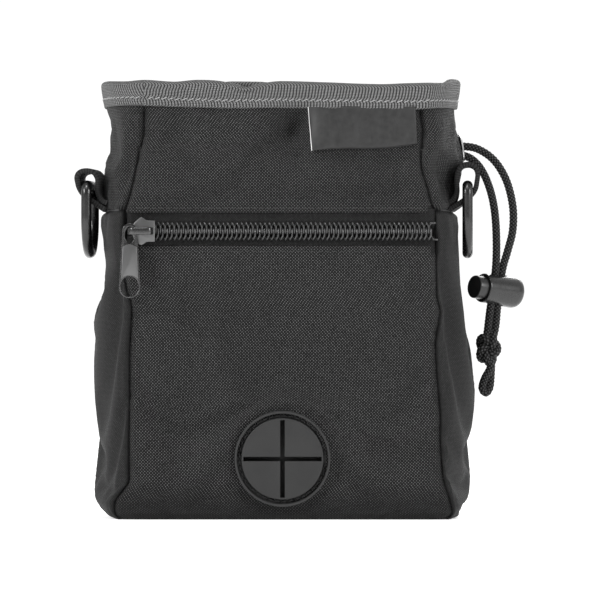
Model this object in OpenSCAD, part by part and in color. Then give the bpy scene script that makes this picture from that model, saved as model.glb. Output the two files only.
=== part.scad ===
// Treat pouch for dog training, in millimetres.
// The origin is the middle of the base, on the surface that the pouch stands on.
// +Z is up, the zipped pocket faces -Y and the wearer's hip is on the +Y side.

/* [Bag] */
// Width of the bag at its widest, across both gussets
bag_w = 151; // [147:1:155]
// Depth of the bag from the front panel to the back panel
bag_d = 56; // [52:1:64]
// Height of the bag from the base to the top of its binding
bag_h = 175.5; // [171:0.5:180]
// Width of the front panel between its side seams
front_w = 123; // [119:1:127]
// Thickness of the woven panels
fabric_t = 1.2; // [0.8:0.1:1.4]
// Height of the binding round the mouth
binding_h = 10.5; // [8:0.1:12]

/* [Front pocket] */
// Height of the middle of the zip chain
zip_z = 115.5; // [113:0.5:117]
// Spacing of the teeth along one side of the chain
tooth_pitch = 1.85; // [1.6:0.05:2]
// Diameter of the rubber bag dispenser
dispenser_d = 38; // [34:1:42]
// Height of the middle of the bag dispenser
dispenser_z = 24.5; // [23:0.5:30]

/* [Drawcord] */
// Diameter of the drawcord
cord_d = 3.2; // [2.8:0.1:3.4]
// Diameter of the cord lock's barrel
lock_d = 12.5; // [11.5:0.5:13]
// Travel of the cord lock's button
button_travel = 2.6; // [1.5:0.1:2.8]

/* [Side rings] */
// Width of the webbing loops
webbing_w = 24.4; // [20:0.2:24.8]
// Inner width of each D-ring
ring_inner_w = 25; // [25:0.5:26]
// Thickness of the D-rings' wire
ring_wire = 4.2; // [3.6:0.2:4.4]

/* [Belt clip] */
// Width of the belt clip
clip_w = 24; // [18:1:30]
// Gap between the clip's two legs at the top
clip_gap = 8; // [7:0.5:9]

/* [Hidden] */

$fn = 48;
gap = 0.1;

// Bag shell. The walls roll in over foot_h at the base.
half_w = bag_w / 2;
half_d = bag_d / 2;
foot_h = 14;
foot_side = 7;
foot_front = 5;
widest_y = 10;
panel_top = bag_h - 1.2;
gusset_seam_z = 124;
upper_panel_z = zip_z + 8;
pocket_panel_z = zip_z - 6.8;
lining_t = 0.6;
divider_t = 0.8;
seam = 0.004;

// How much narrower than bag_w each side of the bag is at a height
side_waist = [
    [0, 0], [70, 0], [88, 1.4], [104, 4.6], [130, 4.2], [145, 4.4], [158, 5.8], [bag_h, 4.1],
];
// How much wider or narrower than front_w each side of the front panel is at a height
front_taper = [
    [0, 4.5], [5, 5], [9, 4.4], [14, 2], [30, 0.7], [60, 0], [90, 0], [104, 0.4], [118, 0.4],
    [124, -0.4], [132, -2.3], [142, -4.7], [156, -6], [bag_h, -6.2],
];
// How far the front swells forward in the middle at a height. It is flat behind the zip.
front_swell = [
    [0, 0], [10, 1], [50, 5], [90, 2.5], [106, 0], [126, 0], [145, 1.5], [160, 0.5], [bag_h, 1],
];
// How deep the pocket is at a height. Above the zip the lining comes forward to the shell.
pocket_room = [[0, 2], [12, 6], [105, 6], [118, 5], [127, 0.4], [140, -6]];
back_swell = 1.5;

// Drawcord channel, between the shell and the lining
cord_z = 148.6;
cord_y = 16;
channel_depth = cord_d + 1.9;
// How far the lining stands off the shell at a height
lining_gap = [
    [0, 1.4], [cord_z - 21, 1.4], [cord_z - 11, 0.3], [cord_z - 7, channel_depth],
    [cord_z + 6, channel_depth], [cord_z + 10, 0.3], [panel_top, 0.3],
];

// Zip
zip_end = front_w / 2 - 0.8;
tape_t = 0.7;
tape_edge = 2.4;
tape_w = 9;
divider_in = fabric_t + tape_t + 0.3;
lining_in = divider_in + divider_t + 0.3;
coil_reach = 3.3;
coil_overlap = 1;
coil_t = 2.5;
slider_x = -61.2;
slider_l = 10.8;
slider_w = 10.4;
slider_plate_t = 1.4;
slider_plate_z = 1.7;
slider_flange_t = 0.5;
tail_half = coil_reach + 0.3 + slider_flange_t;
slider_under_z = -3.5;
bridge_z = 6.2;
bridge_t = 1.3;
bridge_post_d = 1.8;
bridge_post_x = 0.8;
first_tooth_x = slider_x + 7.4;
tooth_count = floor((zip_end - first_tooth_x) / tooth_pitch);

// Pull tab, hanging from the slider's left post
pull_z = 4.3;
pull_t = 1.2;
pull_end_y = -22.2;
pull_top_w = 6;
pull_end_w = 8.6;
pull_slot_w = 3.8;
pull_slot_l = 7.2;
pull_hole_d = 7.4;

// Side rings. Each ring's bar lies inside a teardrop of webbing. The right ring is sewn on a little closer in.
left_ring_x = half_w + 1.7;
left_ring_yaw = 4;
right_ring_x = half_w - 0.2;
right_ring_yaw = -1.6;
ring_y = -4;
ring_z = 134;
ring_corner_r = 3.4;
ring_half = (ring_inner_w + ring_wire) / 2;
ring_l = 31.3;
webbing_t = 1.4;
webbing_r = 5.2;
webbing_at = [1.1, 3];
webbing_apex = [-4.9, -13.2];

// Cord lock. Its barrel lies across the two strands, and its button faces forward and to the left.
lock_at = [88.6, 16.9, 92];
lock_tilt = 8;
lock_yaw = 35;
lock_l = 17;
lock_slot = [7.4, 4.2];
lock_slot_x = -1.5;
plunger_d = 9.6;
bore_d = plunger_d + 0.4;
plunger_end = 3.4;
spring_end = 7.2;
button_out = 4.2;

// Route of the free cord: out of the eyelet, down the outer strand through the lock and the knot,
// round the bight and back up the inner strand into the eyelet
cord_route = [
    [70, 16, 150.4], [75, 16, 150.5], [80, 16, 149.5], [85.5, 16, 146], [89.6, 16, 140.8],
    [92.6, 16, 134], [94.4, 16.2, 125], [94.2, 16.5, 116], [92.2, 16.8, 108], [90.2, 17, 101],
    [88.8, 17, 92], [87.9, 16.9, 84], [87.3, 16.7, 77.5], [86.2, 17, 72], [85.7, 17.2, 67],
    [85.6, 17.5, 61.5], [85.3, 17.1, 56], [84.8, 16.6, 52.2], [83.3, 16, 50.2], [81.8, 15.4, 52.2],
    [82.8, 15.1, 56], [85.3, 14.4, 61.5], [83, 14.9, 67], [83.5, 15.1, 72], [84.2, 15.3, 77.5],
    [85, 15.1, 84],
    [86.2, 15, 92], [87.2, 15, 100], [87.6, 15.2, 108], [87.4, 15.5, 118], [86.6, 15.8, 126],
    [85, 16, 133], [82.4, 16, 139.5], [79, 16, 144.2], [75, 16, 146.6], [70, 16, 146.8],
];
cord_steps = 2;
knot_at = [84.2, 16, 68];
knot_r = 3.5;
knot_l = 12.4;
knot_turns = 3.5;
knot_rings = 56;

// Belt clip
clip_t = 1.2;
clip_top_z = 124;
clip_plate_l = 62;
clip_leg_l = 44;
clip_lean = 3;
clip_y = half_d + back_swell + fabric_t + 0.3;
rivet_z = [clip_top_z - 12, clip_top_z - 54];
rivet_d = 3.6;
rivet_head_d = 8;

// ---------- Points on the bag ----------

function foot(z) = z < foot_h ? pow(1 - z / foot_h, 2.2) : 0;
function side_x(z) = half_w - lookup(z, side_waist) - foot_side * foot(z);
function seam_x(z) = front_w / 2 + lookup(z, front_taper);
function front_y(z) = half_d - foot_front * pow(foot(z), 2);

// u runs from -1 at the left seam to 1 at the right seam
function front_point(u, z, inset) =
    [seam_x(z) * u, -front_y(z) - lookup(z, front_swell) * (1 - u * u) + inset, z];

// v runs from 0 at the front seam to 1 at the back seam
function side_point(v, z, inset) =
    let (bend = min(v / 0.6, 1) * 90, back = max(v - 0.6, 0) / 0.4)
    v < 0.6
    ? [seam_x(z) + (side_x(z) - inset - seam_x(z)) * sin(bend),
       widest_y - (widest_y + front_y(z) - inset) * cos(bend), z]
    : [side_x(z) - inset - 3 * back * back, widest_y + (front_y(z) - inset - widest_y) * back, z];

function back_point(u, z, inset) =
    [-(side_x(z) - inset - 3) * u, front_y(z) - inset + back_swell * (1 - u * u), z];

function mirrored(p) = [-p.x, p.y, p.z];

// How far a gusset is from the middle of the bag, at a place in front of its widest part
function gusset_x(y, z, inset) =
    let (c = (widest_y - y) / (widest_y + front_y(z) - inset))
    seam_x(z) + (side_x(z) - inset - seam_x(z)) * sqrt(max(0, 1 - c * c));

// Where the flat back of the pocket stands at a height
function pocket_y(z, inset) = -front_y(z) + inset + lookup(z, pocket_room);

// A point inset below the bag's surface. s runs from 0 to 1 across the front, to 2 round the right gusset,
// to 3 across the back and to 4 round the left gusset.
function wall(s, z, inset = 0) =
    s < 1 ? front_point(sin(180 * s - 90), z, inset) :
    s < 2 ? side_point(s - 1, z, inset) :
    s < 3 ? back_point(2 * s - 5, z, inset) :
    mirrored(side_point(4 - s, z, inset));

function spread(from, to, count) = [for (i = [0:count]) from + (to - from) * i / count];
function heights(from, to, step) = spread(from, to, max(1, round((to - from) / step)));
function tall(from, to) = from < foot_h ? concat(heights(from, foot_h, 3.5), heights(foot_h + 9, to, 9))
                                        : heights(from, to, 9);
function ring_steps() = [
    for (i = [0:11]) i / 12,
    for (i = [0:8]) 1 + i / 9,
    for (i = [0:7]) 2 + i / 8,
    for (i = [0:8]) 3 + i / 9,
];

// ---------- Shared solids ----------

function quad(a, b, c, d) = [[a, b, c], [a, c, d]];

// A closed sheet between an outer and an inner grid of points, as rows from bottom to top
module sheet(outer, inner) {
    rows = len(outer);
    cols = len(outer[0]);
    n = rows * cols;
    function at(r, c) = r * cols + c;
    points = [for (grid = [outer, inner]) for (row = grid) each row];
    faces = [
        for (r = [0:rows - 2]) for (c = [0:cols - 2]) each concat(
            quad(at(r, c), at(r + 1, c), at(r + 1, c + 1), at(r, c + 1)),
            quad(n + at(r, c), n + at(r, c + 1), n + at(r + 1, c + 1), n + at(r + 1, c))),
        for (c = [0:cols - 2]) each concat(
            quad(at(0, c), at(0, c + 1), n + at(0, c + 1), n + at(0, c)),
            quad(at(rows - 1, c), n + at(rows - 1, c), n + at(rows - 1, c + 1), at(rows - 1, c + 1))),
        for (r = [0:rows - 2]) each concat(
            quad(at(r, 0), n + at(r, 0), n + at(r + 1, 0), at(r + 1, 0)),
            quad(at(r, cols - 1), at(r + 1, cols - 1), n + at(r + 1, cols - 1), n + at(r, cols - 1))),
    ];
    polyhedron(points, faces, convexity = 6);
}

// A panel of the bag between two places round it and over a list of heights
module panel(from, to, zs, cols, inset = 0, thick = fabric_t) {
    steps = spread(from + seam, to - seam, cols);
    sheet([for (z = zs) [for (s = steps) wall(s, z, inset)]],
          [for (z = zs) [for (s = steps) wall(s, z, inset + thick)]]);
}

// A closed band round the bag, whose section is a loop of [inset, z] points
module band(section) {
    steps = ring_steps();
    m = len(section);
    n = len(steps);
    points = [for (s = steps) for (p = section) wall(s, p[1], p[0])];
    faces = [for (i = [0:n - 1]) for (j = [0:m - 1])
        let (i2 = (i + 1) % n, j2 = (j + 1) % m)
        each quad(i * m + j, i * m + j2, i2 * m + j2, i2 * m + j)];
    polyhedron(points, faces, convexity = 6);
}

function unit(v) = v / norm(v);
function spline(a, b, c, d, t) =
    0.5 * (2 * b + (c - a) * t + (2 * a - 5 * b + 4 * c - d) * t * t + (3 * b - a - 3 * c + d) * t * t * t);
function smooth(route, steps) =
    let (n = len(route))
    [for (i = [0:n - 2]) for (k = [0:steps - 1])
        spline(route[max(i - 1, 0)], route[i], route[i + 1], route[min(i + 2, n - 1)], k / steps),
     route[n - 1]];

// A round tube along a path that never runs along Y
module tube(path, d, sides = 8) {
    n = len(path);
    function along(i) = unit(path[min(i + 1, n - 1)] - path[max(i - 1, 0)]);
    points = [for (i = [0:n - 1])
        let (t = along(i), u = unit(cross(t, [0, 1, 0])), v = cross(t, u))
        for (k = [0:sides - 1])
            path[i] + d / 2 * (cos(360 * k / sides) * u + sin(360 * k / sides) * v)];
    faces = concat(
        [[for (k = [0:sides - 1]) k]],
        [for (i = [0:n - 2]) for (k = [0:sides - 1])
            let (k2 = (k + 1) % sides)
            each quad(i * sides + k, (i + 1) * sides + k, (i + 1) * sides + k2, i * sides + k2)],
        [[for (k = [sides - 1:-1:0]) (n - 1) * sides + k]]);
    polyhedron(points, faces, convexity = 10);
}

module bored_disc(d, bore, h) {
    difference() {
        cylinder(d = d, h = h);
        translate([0, 0, -1]) cylinder(d = bore, h = h + 2);
    }
}

// ---------- Panels ----------

// Places something on the front panel, flat on its outer surface and with its Z axis pointing forward
module on_front(x, z) {
    translate([x, -half_d, z]) rotate([90, 0, 0]) children();
}

// The lower front swells forward with height, so the dispenser leans back by this slope
dispenser_lean = atan((lookup(50, front_swell) - lookup(10, front_swell)) / 40);

module at_dispenser() {
    y = -half_d - lookup(dispenser_z, front_swell);
    translate([0, y, dispenser_z]) rotate([90 + dispenser_lean, 0, 0]) children();
}

// The gusset leans in towards the mouth and towards the back at the eyelet
module at_eyelet() {
    x = side_x(cord_z) - 0.3;
    translate([x, cord_y, cord_z]) rotate([0, 0, 6]) rotate([0, 82, 0]) children();
}

module front_upper_panel() {
    color("#26272a") panel(0, 1, heights(upper_panel_z, panel_top, 8), 12);
}

module front_pocket_panel() {
    color("#26272a") difference() {
        panel(0, 1, tall(0, pocket_panel_z), 12);
        at_dispenser() translate([0, 0, -5]) cylinder(d = dispenser_d - 3, h = 10);
    }
}

// A flat sheet between the gussets, whose top comes forward to the upper tape
module pocket_divider() {
    zs = [1.4, 4, 8, 14, 40, 70, 90, 105, 112, 118, 122, 126.5];
    function skin(inset) = [for (z = zs)
        let (y = pocket_y(z, inset), x = gusset_x(y, z, fabric_t + 0.6))
        [[-x, y, z], [x, y, z]]];
    color("#1d1d1f") sheet(skin(divider_in), skin(divider_in + divider_t));
}

module upper_gusset() {
    panel(1, 2, heights(gusset_seam_z + gap, panel_top, 8), 9);
}

module lower_gusset() {
    panel(1, 2, tall(0, gusset_seam_z), 9);
}

module left_upper_gusset() {
    color("#26272a") mirror([1, 0, 0]) upper_gusset();
}

module right_upper_gusset() {
    color("#26272a") difference() {
        upper_gusset();
        at_eyelet() translate([0, 0, -6]) cylinder(d = 10, h = 12);
    }
}

module left_lower_gusset() {
    color("#222326") mirror([1, 0, 0]) lower_gusset();
}

module right_lower_gusset() {
    color("#222326") lower_gusset();
}

module back_panel() {
    color("#26272a") difference() {
        panel(2, 3, tall(0, panel_top), 8);
        rivet_holes();
    }
}

module base_panel() {
    color("#222326") linear_extrude(fabric_t)
        polygon([for (s = ring_steps()) let (p = wall(s, 0, fabric_t + gap)) [p.x, p.y]]);
}

// An open bag inside the panels and behind the divider. It stands off the shell at the drawcord's channel.
module lining() {
    steps = ring_steps();
    n = len(steps);
    zs = concat(tall(2, cord_z - 22), [for (i = [1:6]) lining_gap[i].x]);
    rows = len(zs);
    function inset(z) = fabric_t + lookup(z, lining_gap);
    function skin(z, more) = [for (s = steps)
        let (p = wall(s, z, inset(z) + more))
        [p.x, max(p.y, pocket_y(z, lining_in + more)), z]];
    function at(r, c) = r * n + c % n;
    half = rows * n;
    points = [
        for (z = zs) each skin(z, 0),
        for (i = [0:rows - 1]) each skin(zs[i] + (i == 0 ? lining_t : 0), lining_t),
    ];
    faces = [
        [for (c = [0:n - 1]) c],
        [for (c = [n - 1:-1:0]) half + c],
        for (r = [0:rows - 2]) for (c = [0:n - 1]) each concat(
            quad(at(r, c), at(r + 1, c), at(r + 1, c + 1), at(r, c + 1)),
            quad(half + at(r, c), half + at(r, c + 1), half + at(r + 1, c + 1), half + at(r + 1, c))),
        for (c = [0:n - 1])
            let (a = at(rows - 1, c), b = at(rows - 1, c + 1))
            each quad(a, half + a, half + b, b),
    ];
    color("#3a3b3e") polyhedron(points, faces, convexity = 10);
}

module top_binding() {
    skin = 0.7;
    out = -0.9;
    in = fabric_t + lining_t + 1.2;
    low = bag_h - binding_h;
    color("#77787a") band([
        [out, low], [out + skin, low], [out + skin, panel_top + gap], [in - skin, panel_top + gap],
        [in - skin, low], [in, low], [in, bag_h], [out, bag_h],
    ]);
}

module side_label() {
    color("#303134") panel(0.555, 0.86, heights(bag_h - 26, bag_h - binding_h - 0.2, 4), 6, -0.9, 0.7);
}

// ---------- Zip ----------

module tape() {
    translate([-zip_end, tape_edge, -fabric_t - gap - tape_t]) cube([2 * zip_end, tape_w, tape_t]);
}

module zipper_tape_upper() {
    color("#1c1c1e") on_front(0, zip_z) tape();
}

module zipper_tape_lower() {
    color("#1c1c1e") on_front(0, zip_z) mirror([0, 1, 0]) tape();
}

// One side of the chain: a row of flat teeth that lie across the tape's edge
module teeth() {
    wide = tooth_pitch * 0.23;
    outline = [for (a = [0:45:315]) [wide * cos(a), coil_t / 2 * sin(a)]];
    for (i = [0:tooth_count - 1])
        translate([first_tooth_x + i * tooth_pitch, coil_reach, coil_t / 2 - fabric_t - gap])
            rotate([90, 0, 0]) linear_extrude(coil_reach + coil_overlap) polygon(outline);
}

module zipper_teeth_upper() {
    color("#161617") on_front(0, zip_z) teeth();
}

module zipper_teeth_lower() {
    color("#161617") on_front(tooth_pitch / 2, zip_z) mirror([0, 1, 0]) teeth();
}

// The slider in the plane of the zip: its nose is at x = 0, its horns in the middle and its tail at slider_l
function slider_outline() =
    let (half = [[0, 2.4], [1.4, 3.5], [slider_l / 2, slider_w / 2], [7.4, 4.3], [slider_l, tail_half]])
    concat(half, [for (i = [len(half) - 1:-1:0]) [half[i].x, -half[i].y]]);

module slider_flange() {
    flange_h = 2;
    translate([slider_l / 2, tail_half - slider_flange_t, slider_plate_z - flange_h])
        cube([slider_l / 2 - 0.1, slider_flange_t, flange_h + 0.1]);
}

module zipper_slider() {
    color("#6a6b6e") on_front(slider_x, zip_z) union() {
        translate([0, 0, slider_plate_z]) linear_extrude(slider_plate_t) polygon(slider_outline());
        translate([0, 0, slider_under_z]) linear_extrude(1.2) polygon(slider_outline());
        translate([2.2, -1.1, slider_under_z + 0.5]) cube([2.4, 2.2, slider_plate_z - slider_under_z]);
        slider_flange();
        mirror([0, 1, 0]) slider_flange();
        for (x = [bridge_post_x, slider_l - 1.8])
            translate([x, 0, slider_plate_z + 0.5])
                cylinder(d = bridge_post_d, h = bridge_z - slider_plate_z);
        translate([-0.2, -1.4, bridge_z]) cube([slider_l - 0.6, 2.8, bridge_t]);
    }
}

// The tab hangs along -Y of its own plane from the hinge at the origin
module zipper_pull() {
    slot_end = pull_slot_w - pull_slot_l;
    color("#8a8b8e") on_front(slider_x + bridge_post_x, zip_z) translate([0, 0, pull_z]) difference() {
        linear_extrude(pull_t) polygon(concat(
            [for (a = [0:15:180]) pull_top_w / 2 * [cos(a), sin(a)]],
            [for (a = [180:15:360]) [0, pull_end_y] + pull_end_w / 2 * [cos(a), sin(a)]]));
        translate([0, 0, -1]) cylinder(d = pull_slot_w, h = pull_t + 2);
        translate([-pull_slot_w / 2, slot_end, -1]) cube([pull_slot_w, -slot_end, pull_t + 2]);
        translate([0, slot_end, -1]) cylinder(d = pull_slot_w, h = pull_t + 2);
        translate([0, pull_end_y, -1]) cylinder(d = pull_hole_d, h = pull_t + 2);
    }
}

// ---------- Bag dispenser ----------

module bag_dispenser() {
    flange_d = dispenser_d;
    core_d = dispenser_d - 3.4;
    slit_l = dispenser_d - 6.4;
    slit_w = 1.8;
    color("#3c3d3f") at_dispenser() difference() {
        union() {
            translate([0, 0, -3.5]) cylinder(d = flange_d, h = 1, $fn = 96);
            translate([0, 0, -3]) cylinder(d = core_d, h = 3.8, $fn = 96);
            translate([0, 0, 0.2]) cylinder(d = flange_d, h = 1.4, $fn = 96);
        }
        translate([0, 0, 1]) difference() {
            cylinder(d = dispenser_d - 2.2, h = 2, $fn = 96);
            translate([0, 0, -1]) cylinder(d = dispenser_d - 5, h = 4, $fn = 96);
        }
        for (turn = [0, 90])
            rotate([0, 0, turn]) translate([-slit_l / 2, -slit_w / 2, -4]) cube([slit_l, slit_w, 8]);
    }
}

// ---------- Side rings ----------

// Places a ring's parts: the bar runs along Y and the bag is on the -X side
module at_left_ring() {
    mirror([1, 0, 0]) translate([left_ring_x, ring_y, ring_z]) rotate([0, 0, left_ring_yaw]) children();
}

module at_right_ring() {
    translate([right_ring_x, ring_y, ring_z]) rotate([0, 0, right_ring_yaw]) children();
}

function teardrop(r, apex) =
    let (from = atan2(apex.y, apex.x), open = acos(r / norm(apex)))
    concat([apex], [for (a = spread(from + open, from + 360 - open, 24)) r * [cos(a), sin(a)]]);

module ring_loop() {
    inner_r = webbing_r - webbing_t;
    translate([webbing_at.x, webbing_w / 2, webbing_at.y]) rotate([90, 0, 0])
        linear_extrude(webbing_w) difference() {
            polygon(teardrop(webbing_r, webbing_apex));
            polygon(teardrop(inner_r, webbing_apex * inner_r / webbing_r));
        }
}

module quarter_bend() {
    rotate_extrude(angle = 90) translate([ring_corner_r, 0]) circle(d = ring_wire);
}

// A D-ring that hangs from its bar at the origin, in the YZ plane
module d_ring() {
    straight = ring_half - ring_corner_r;
    arc_z = -(ring_l - ring_wire - ring_half);
    rotate([90, 0, 90]) union() {
        translate([-straight, 0, 0]) rotate([0, 90, 0]) cylinder(d = ring_wire, h = 2 * straight);
        for (side = [0, 1]) mirror([side, 0, 0]) {
            translate([straight, -ring_corner_r, 0]) quarter_bend();
            translate([ring_half, arc_z, 0]) rotate([-90, 0, 0])
                cylinder(d = ring_wire, h = -arc_z - ring_corner_r);
        }
        translate([0, arc_z, 0]) rotate([0, 0, 180])
            rotate_extrude(angle = 180) translate([ring_half, 0]) circle(d = ring_wire);
    }
}

module left_ring_loop() {
    color("#141415") at_left_ring() ring_loop();
}

module right_ring_loop() {
    color("#141415") at_right_ring() ring_loop();
}

module left_d_ring() {
    color("#2b2b2d") at_left_ring() d_ring();
}

module right_d_ring() {
    color("#2b2b2d") at_right_ring() d_ring();
}

// ---------- Drawcord ----------

// The cord in its channel, from just behind the eyelet all the way round to just in front of it
module drawcord_loop() {
    depth = fabric_t + 1.4 + cord_d / 2;
    eyelet_s = 1.6 + 0.4 * (cord_y - widest_y) / (half_d - widest_y);
    start = cord_route[0];
    end = cord_route[len(cord_route) - 1];
    around = [for (t = spread(0.1, 3.9, 48))
        let (s = eyelet_s + t, z = start.z + (end.z - start.z) * t / 4)
        wall(s < 4 ? s : s - 4, z, depth)];
    path = concat([start - [gap, 0, 0], start - [2, 0, 0]], around, [end - [2, 0, 0], end - [gap, 0, 0]]);
    color("#19191a") tube(path, cord_d);
}

module drawcord_eyelet() {
    bore_r = 4.2;
    barrel_r = 4.8;
    flange_r = 6.8;
    inner_flange_r = 5.1;
    color("#c9cacb") at_eyelet() rotate_extrude() polygon([
        [bore_r, -2.3], [bore_r, 0.9], [bore_r + 0.8, 1.5], [flange_r - 0.4, 1.2], [flange_r, 0.5],
        [barrel_r, 0.5], [barrel_r, -1.8], [inner_flange_r, -1.8], [inner_flange_r, -2.3],
    ]);
}

module drawcord_tail() {
    color("#19191a") tube(smooth(cord_route, cord_steps), cord_d);
}

// Wraps of cord round the two strands, in line with them
module cord_knot() {
    path = [for (i = [0:knot_rings]) let (a = 360 * knot_turns * i / knot_rings)
        [knot_r * cos(a), 0.8 * knot_r * sin(a), knot_l * (i / knot_rings - 0.5)]];
    color("#19191a") translate(knot_at) tube(path, cord_d);
}

// Places the lock's parts: its barrel lies along X, the button is at -X and the strands run along Z
module at_lock() {
    translate(lock_at) rotate([0, lock_tilt, 0]) rotate([0, 0, lock_yaw]) children();
}

module along_x(from) {
    translate([from, 0, 0]) rotate([0, 90, 0]) children();
}

module strand_slot(x, l) {
    translate([x - l / 2, -lock_slot.y / 2, -lock_d]) cube([l, lock_slot.y, 2 * lock_d]);
}

module cord_lock_barrel() {
    nose = 2.4;
    color("#2c2d30") at_lock() difference() {
        union() {
            along_x(-lock_l / 2) cylinder(d = lock_d, h = lock_l - nose);
            along_x(lock_l / 2 - nose) cylinder(d1 = lock_d, d2 = lock_d - 4.4, h = nose);
        }
        along_x(-lock_l / 2 - 1) cylinder(d = bore_d, h = lock_l / 2 + 1 + spring_end + 0.1);
        strand_slot(lock_slot_x, lock_slot.x);
    }
}

// The plunger's slot leaves room for the strands while the button is pressed
module cord_lock_button() {
    head = -lock_l / 2 - button_out;
    color("#1f2022") at_lock() difference() {
        along_x(head) cylinder(d = plunger_d, h = plunger_end - head);
        strand_slot(lock_slot_x - button_travel / 2, lock_slot.x + button_travel + 0.2);
    }
}

module cord_lock_spring() {
    room = spring_end - plunger_end;
    color("#9a9b9d") at_lock() along_x(plunger_end + 0.1) bored_disc(7.6, 5.6, room - 0.2);
}

// ---------- Belt clip ----------

module rivet_holes() {
    for (z = rivet_z)
        translate([0, half_d - 8, z]) rotate([-90, 0, 0]) cylinder(d = rivet_d + 0.3, h = 20);
}

module clip_patch() {
    color("#1d1d1f") difference() {
        panel(2.38, 2.62, heights(clip_top_z - clip_plate_l - 4, clip_top_z + 4, 9), 4, -fabric_t - gap);
        rivet_holes();
    }
}

// A strip bent over at the top, whose outer leg leans in towards the bag and turns out again at its lip
module belt_clip() {
    bend_r = clip_gap / 2;
    lip_r = 8;
    lip_turn = 50;
    color("#202022") difference() {
        translate([-clip_w / 2, clip_y + clip_t + bend_r, clip_top_z]) rotate([90, 0, 90]) union() {
            translate([-bend_r - clip_t, -clip_plate_l, 0]) cube([clip_t, clip_plate_l, clip_w]);
            rotate_extrude(angle = 180) translate([bend_r, 0]) square([clip_t, clip_w]);
            translate([bend_r, 0, 0]) rotate([0, 0, -clip_lean]) {
                translate([0, -clip_leg_l, 0]) cube([clip_t, clip_leg_l + 0.1, clip_w]);
                translate([lip_r + clip_t, 0.05 - clip_leg_l, 0]) rotate([0, 0, 180])
                    rotate_extrude(angle = lip_turn) translate([lip_r, 0]) square([clip_t, clip_w]);
            }
        }
        rivet_holes();
    }
}

module clip_rivets() {
    shank_l = fabric_t * 2 + clip_t + 0.6;
    color("#8a8b8e") for (z = rivet_z)
        translate([0, clip_y + clip_t + 0.1, z]) rotate([90, 0, 0]) union() {
            translate([0, 0, -1]) cylinder(d1 = rivet_head_d - 2, d2 = rivet_head_d, h = 1);
            translate([0, 0, -0.5]) cylinder(d = rivet_d, h = shank_l + 0.5);
            translate([0, 0, shank_l - 0.1]) cylinder(d = rivet_head_d - 1, h = 0.8);
        }
}

front_upper_panel();
front_pocket_panel();
pocket_divider();
left_upper_gusset();
right_upper_gusset();
left_lower_gusset();
right_lower_gusset();
back_panel();
base_panel();
lining();
top_binding();
zipper_tape_upper();
zipper_tape_lower();
zipper_teeth_upper();
zipper_teeth_lower();
zipper_slider();
zipper_pull();
bag_dispenser();
side_label();
left_ring_loop();
right_ring_loop();
left_d_ring();
right_d_ring();
drawcord_loop();
drawcord_eyelet();
drawcord_tail();
cord_knot();
cord_lock_barrel();
cord_lock_button();
cord_lock_spring();
belt_clip();
clip_patch();
clip_rivets();
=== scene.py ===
import contextlib
import math

import bmesh
import bpy
import numpy as np
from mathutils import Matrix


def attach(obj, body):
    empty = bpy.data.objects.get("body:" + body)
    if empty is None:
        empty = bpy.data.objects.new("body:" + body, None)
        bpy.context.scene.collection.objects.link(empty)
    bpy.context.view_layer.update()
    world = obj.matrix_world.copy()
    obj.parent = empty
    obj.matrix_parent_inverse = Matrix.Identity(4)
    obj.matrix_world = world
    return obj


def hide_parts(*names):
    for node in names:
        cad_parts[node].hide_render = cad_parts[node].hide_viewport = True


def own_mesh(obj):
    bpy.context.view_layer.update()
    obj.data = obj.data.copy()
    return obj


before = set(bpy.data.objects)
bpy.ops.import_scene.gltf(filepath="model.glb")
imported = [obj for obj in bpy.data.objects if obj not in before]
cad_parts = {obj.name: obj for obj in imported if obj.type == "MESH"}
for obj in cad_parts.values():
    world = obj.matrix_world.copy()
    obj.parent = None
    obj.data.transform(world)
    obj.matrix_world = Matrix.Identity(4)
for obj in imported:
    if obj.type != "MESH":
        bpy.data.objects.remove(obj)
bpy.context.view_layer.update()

# The looks of the treat pouch. The shapes are worked out in millimetres, in the CAD's frame, and become
# metres when a mesh is made. The bag is a shell of cloth panels. A place on it has a turn s and a height z:
# s runs from 0 to 1 across the front, to 2 round the right gusset, to 3 across the back and to 4 round the
# left gusset.
MM = 0.001


# ---------- Camera, light and stage ----------

VIEW_WIDTH = 240
VIEW_DISTANCE = 2400
VIEW_X = 7.6
VIEW_Z = 88
HALF_D = 28


def make_camera():
    data = bpy.data.cameras.new("camera")
    data.sensor_width = 36
    data.lens = data.sensor_width * VIEW_DISTANCE / VIEW_WIDTH
    data.clip_end = 100
    camera = bpy.data.objects.new("camera", data)
    camera.location = (VIEW_X * MM, -(HALF_D + VIEW_DISTANCE) * MM, VIEW_Z * MM)
    camera.rotation_euler = (math.pi / 2, 0, 0)
    bpy.context.scene.collection.objects.link(camera)
    bpy.context.scene.camera = camera


def area_light(name, place, aim, size, power):
    data = bpy.data.lights.new(name, "AREA")
    data.shape = "RECTANGLE"
    data.size, data.size_y = size
    data.energy = power
    light = bpy.data.objects.new(name, data)
    light.location = place
    x, y, z = (a - b for a, b in zip(aim, place))
    light.rotation_euler = (math.atan2(math.hypot(x, y), -z), 0, math.atan2(y, x) - math.pi / 2)
    bpy.context.scene.collection.objects.link(light)


def make_world():
    """White behind the pouch and a softer grey behind the camera."""
    world = bpy.data.worlds.new("studio")
    bpy.context.scene.world = world
    world.use_nodes = True
    nodes, links = world.node_tree.nodes, world.node_tree.links
    split = nodes.new("ShaderNodeSeparateXYZ")
    strength = nodes.new("ShaderNodeMapRange")
    links.new(nodes.new("ShaderNodeTexCoord").outputs["Generated"], split.inputs[0])
    links.new(split.outputs[1], strength.inputs["Value"])
    for key, value in {"From Min": -0.2, "From Max": 0.4, "To Min": 0.42, "To Max": 1.05}.items():
        strength.inputs[key].default_value = value
    background = nodes["Background"]
    background.inputs["Color"].default_value = (1, 1, 1, 1)
    links.new(strength.outputs[0], background.inputs["Strength"])


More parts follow.
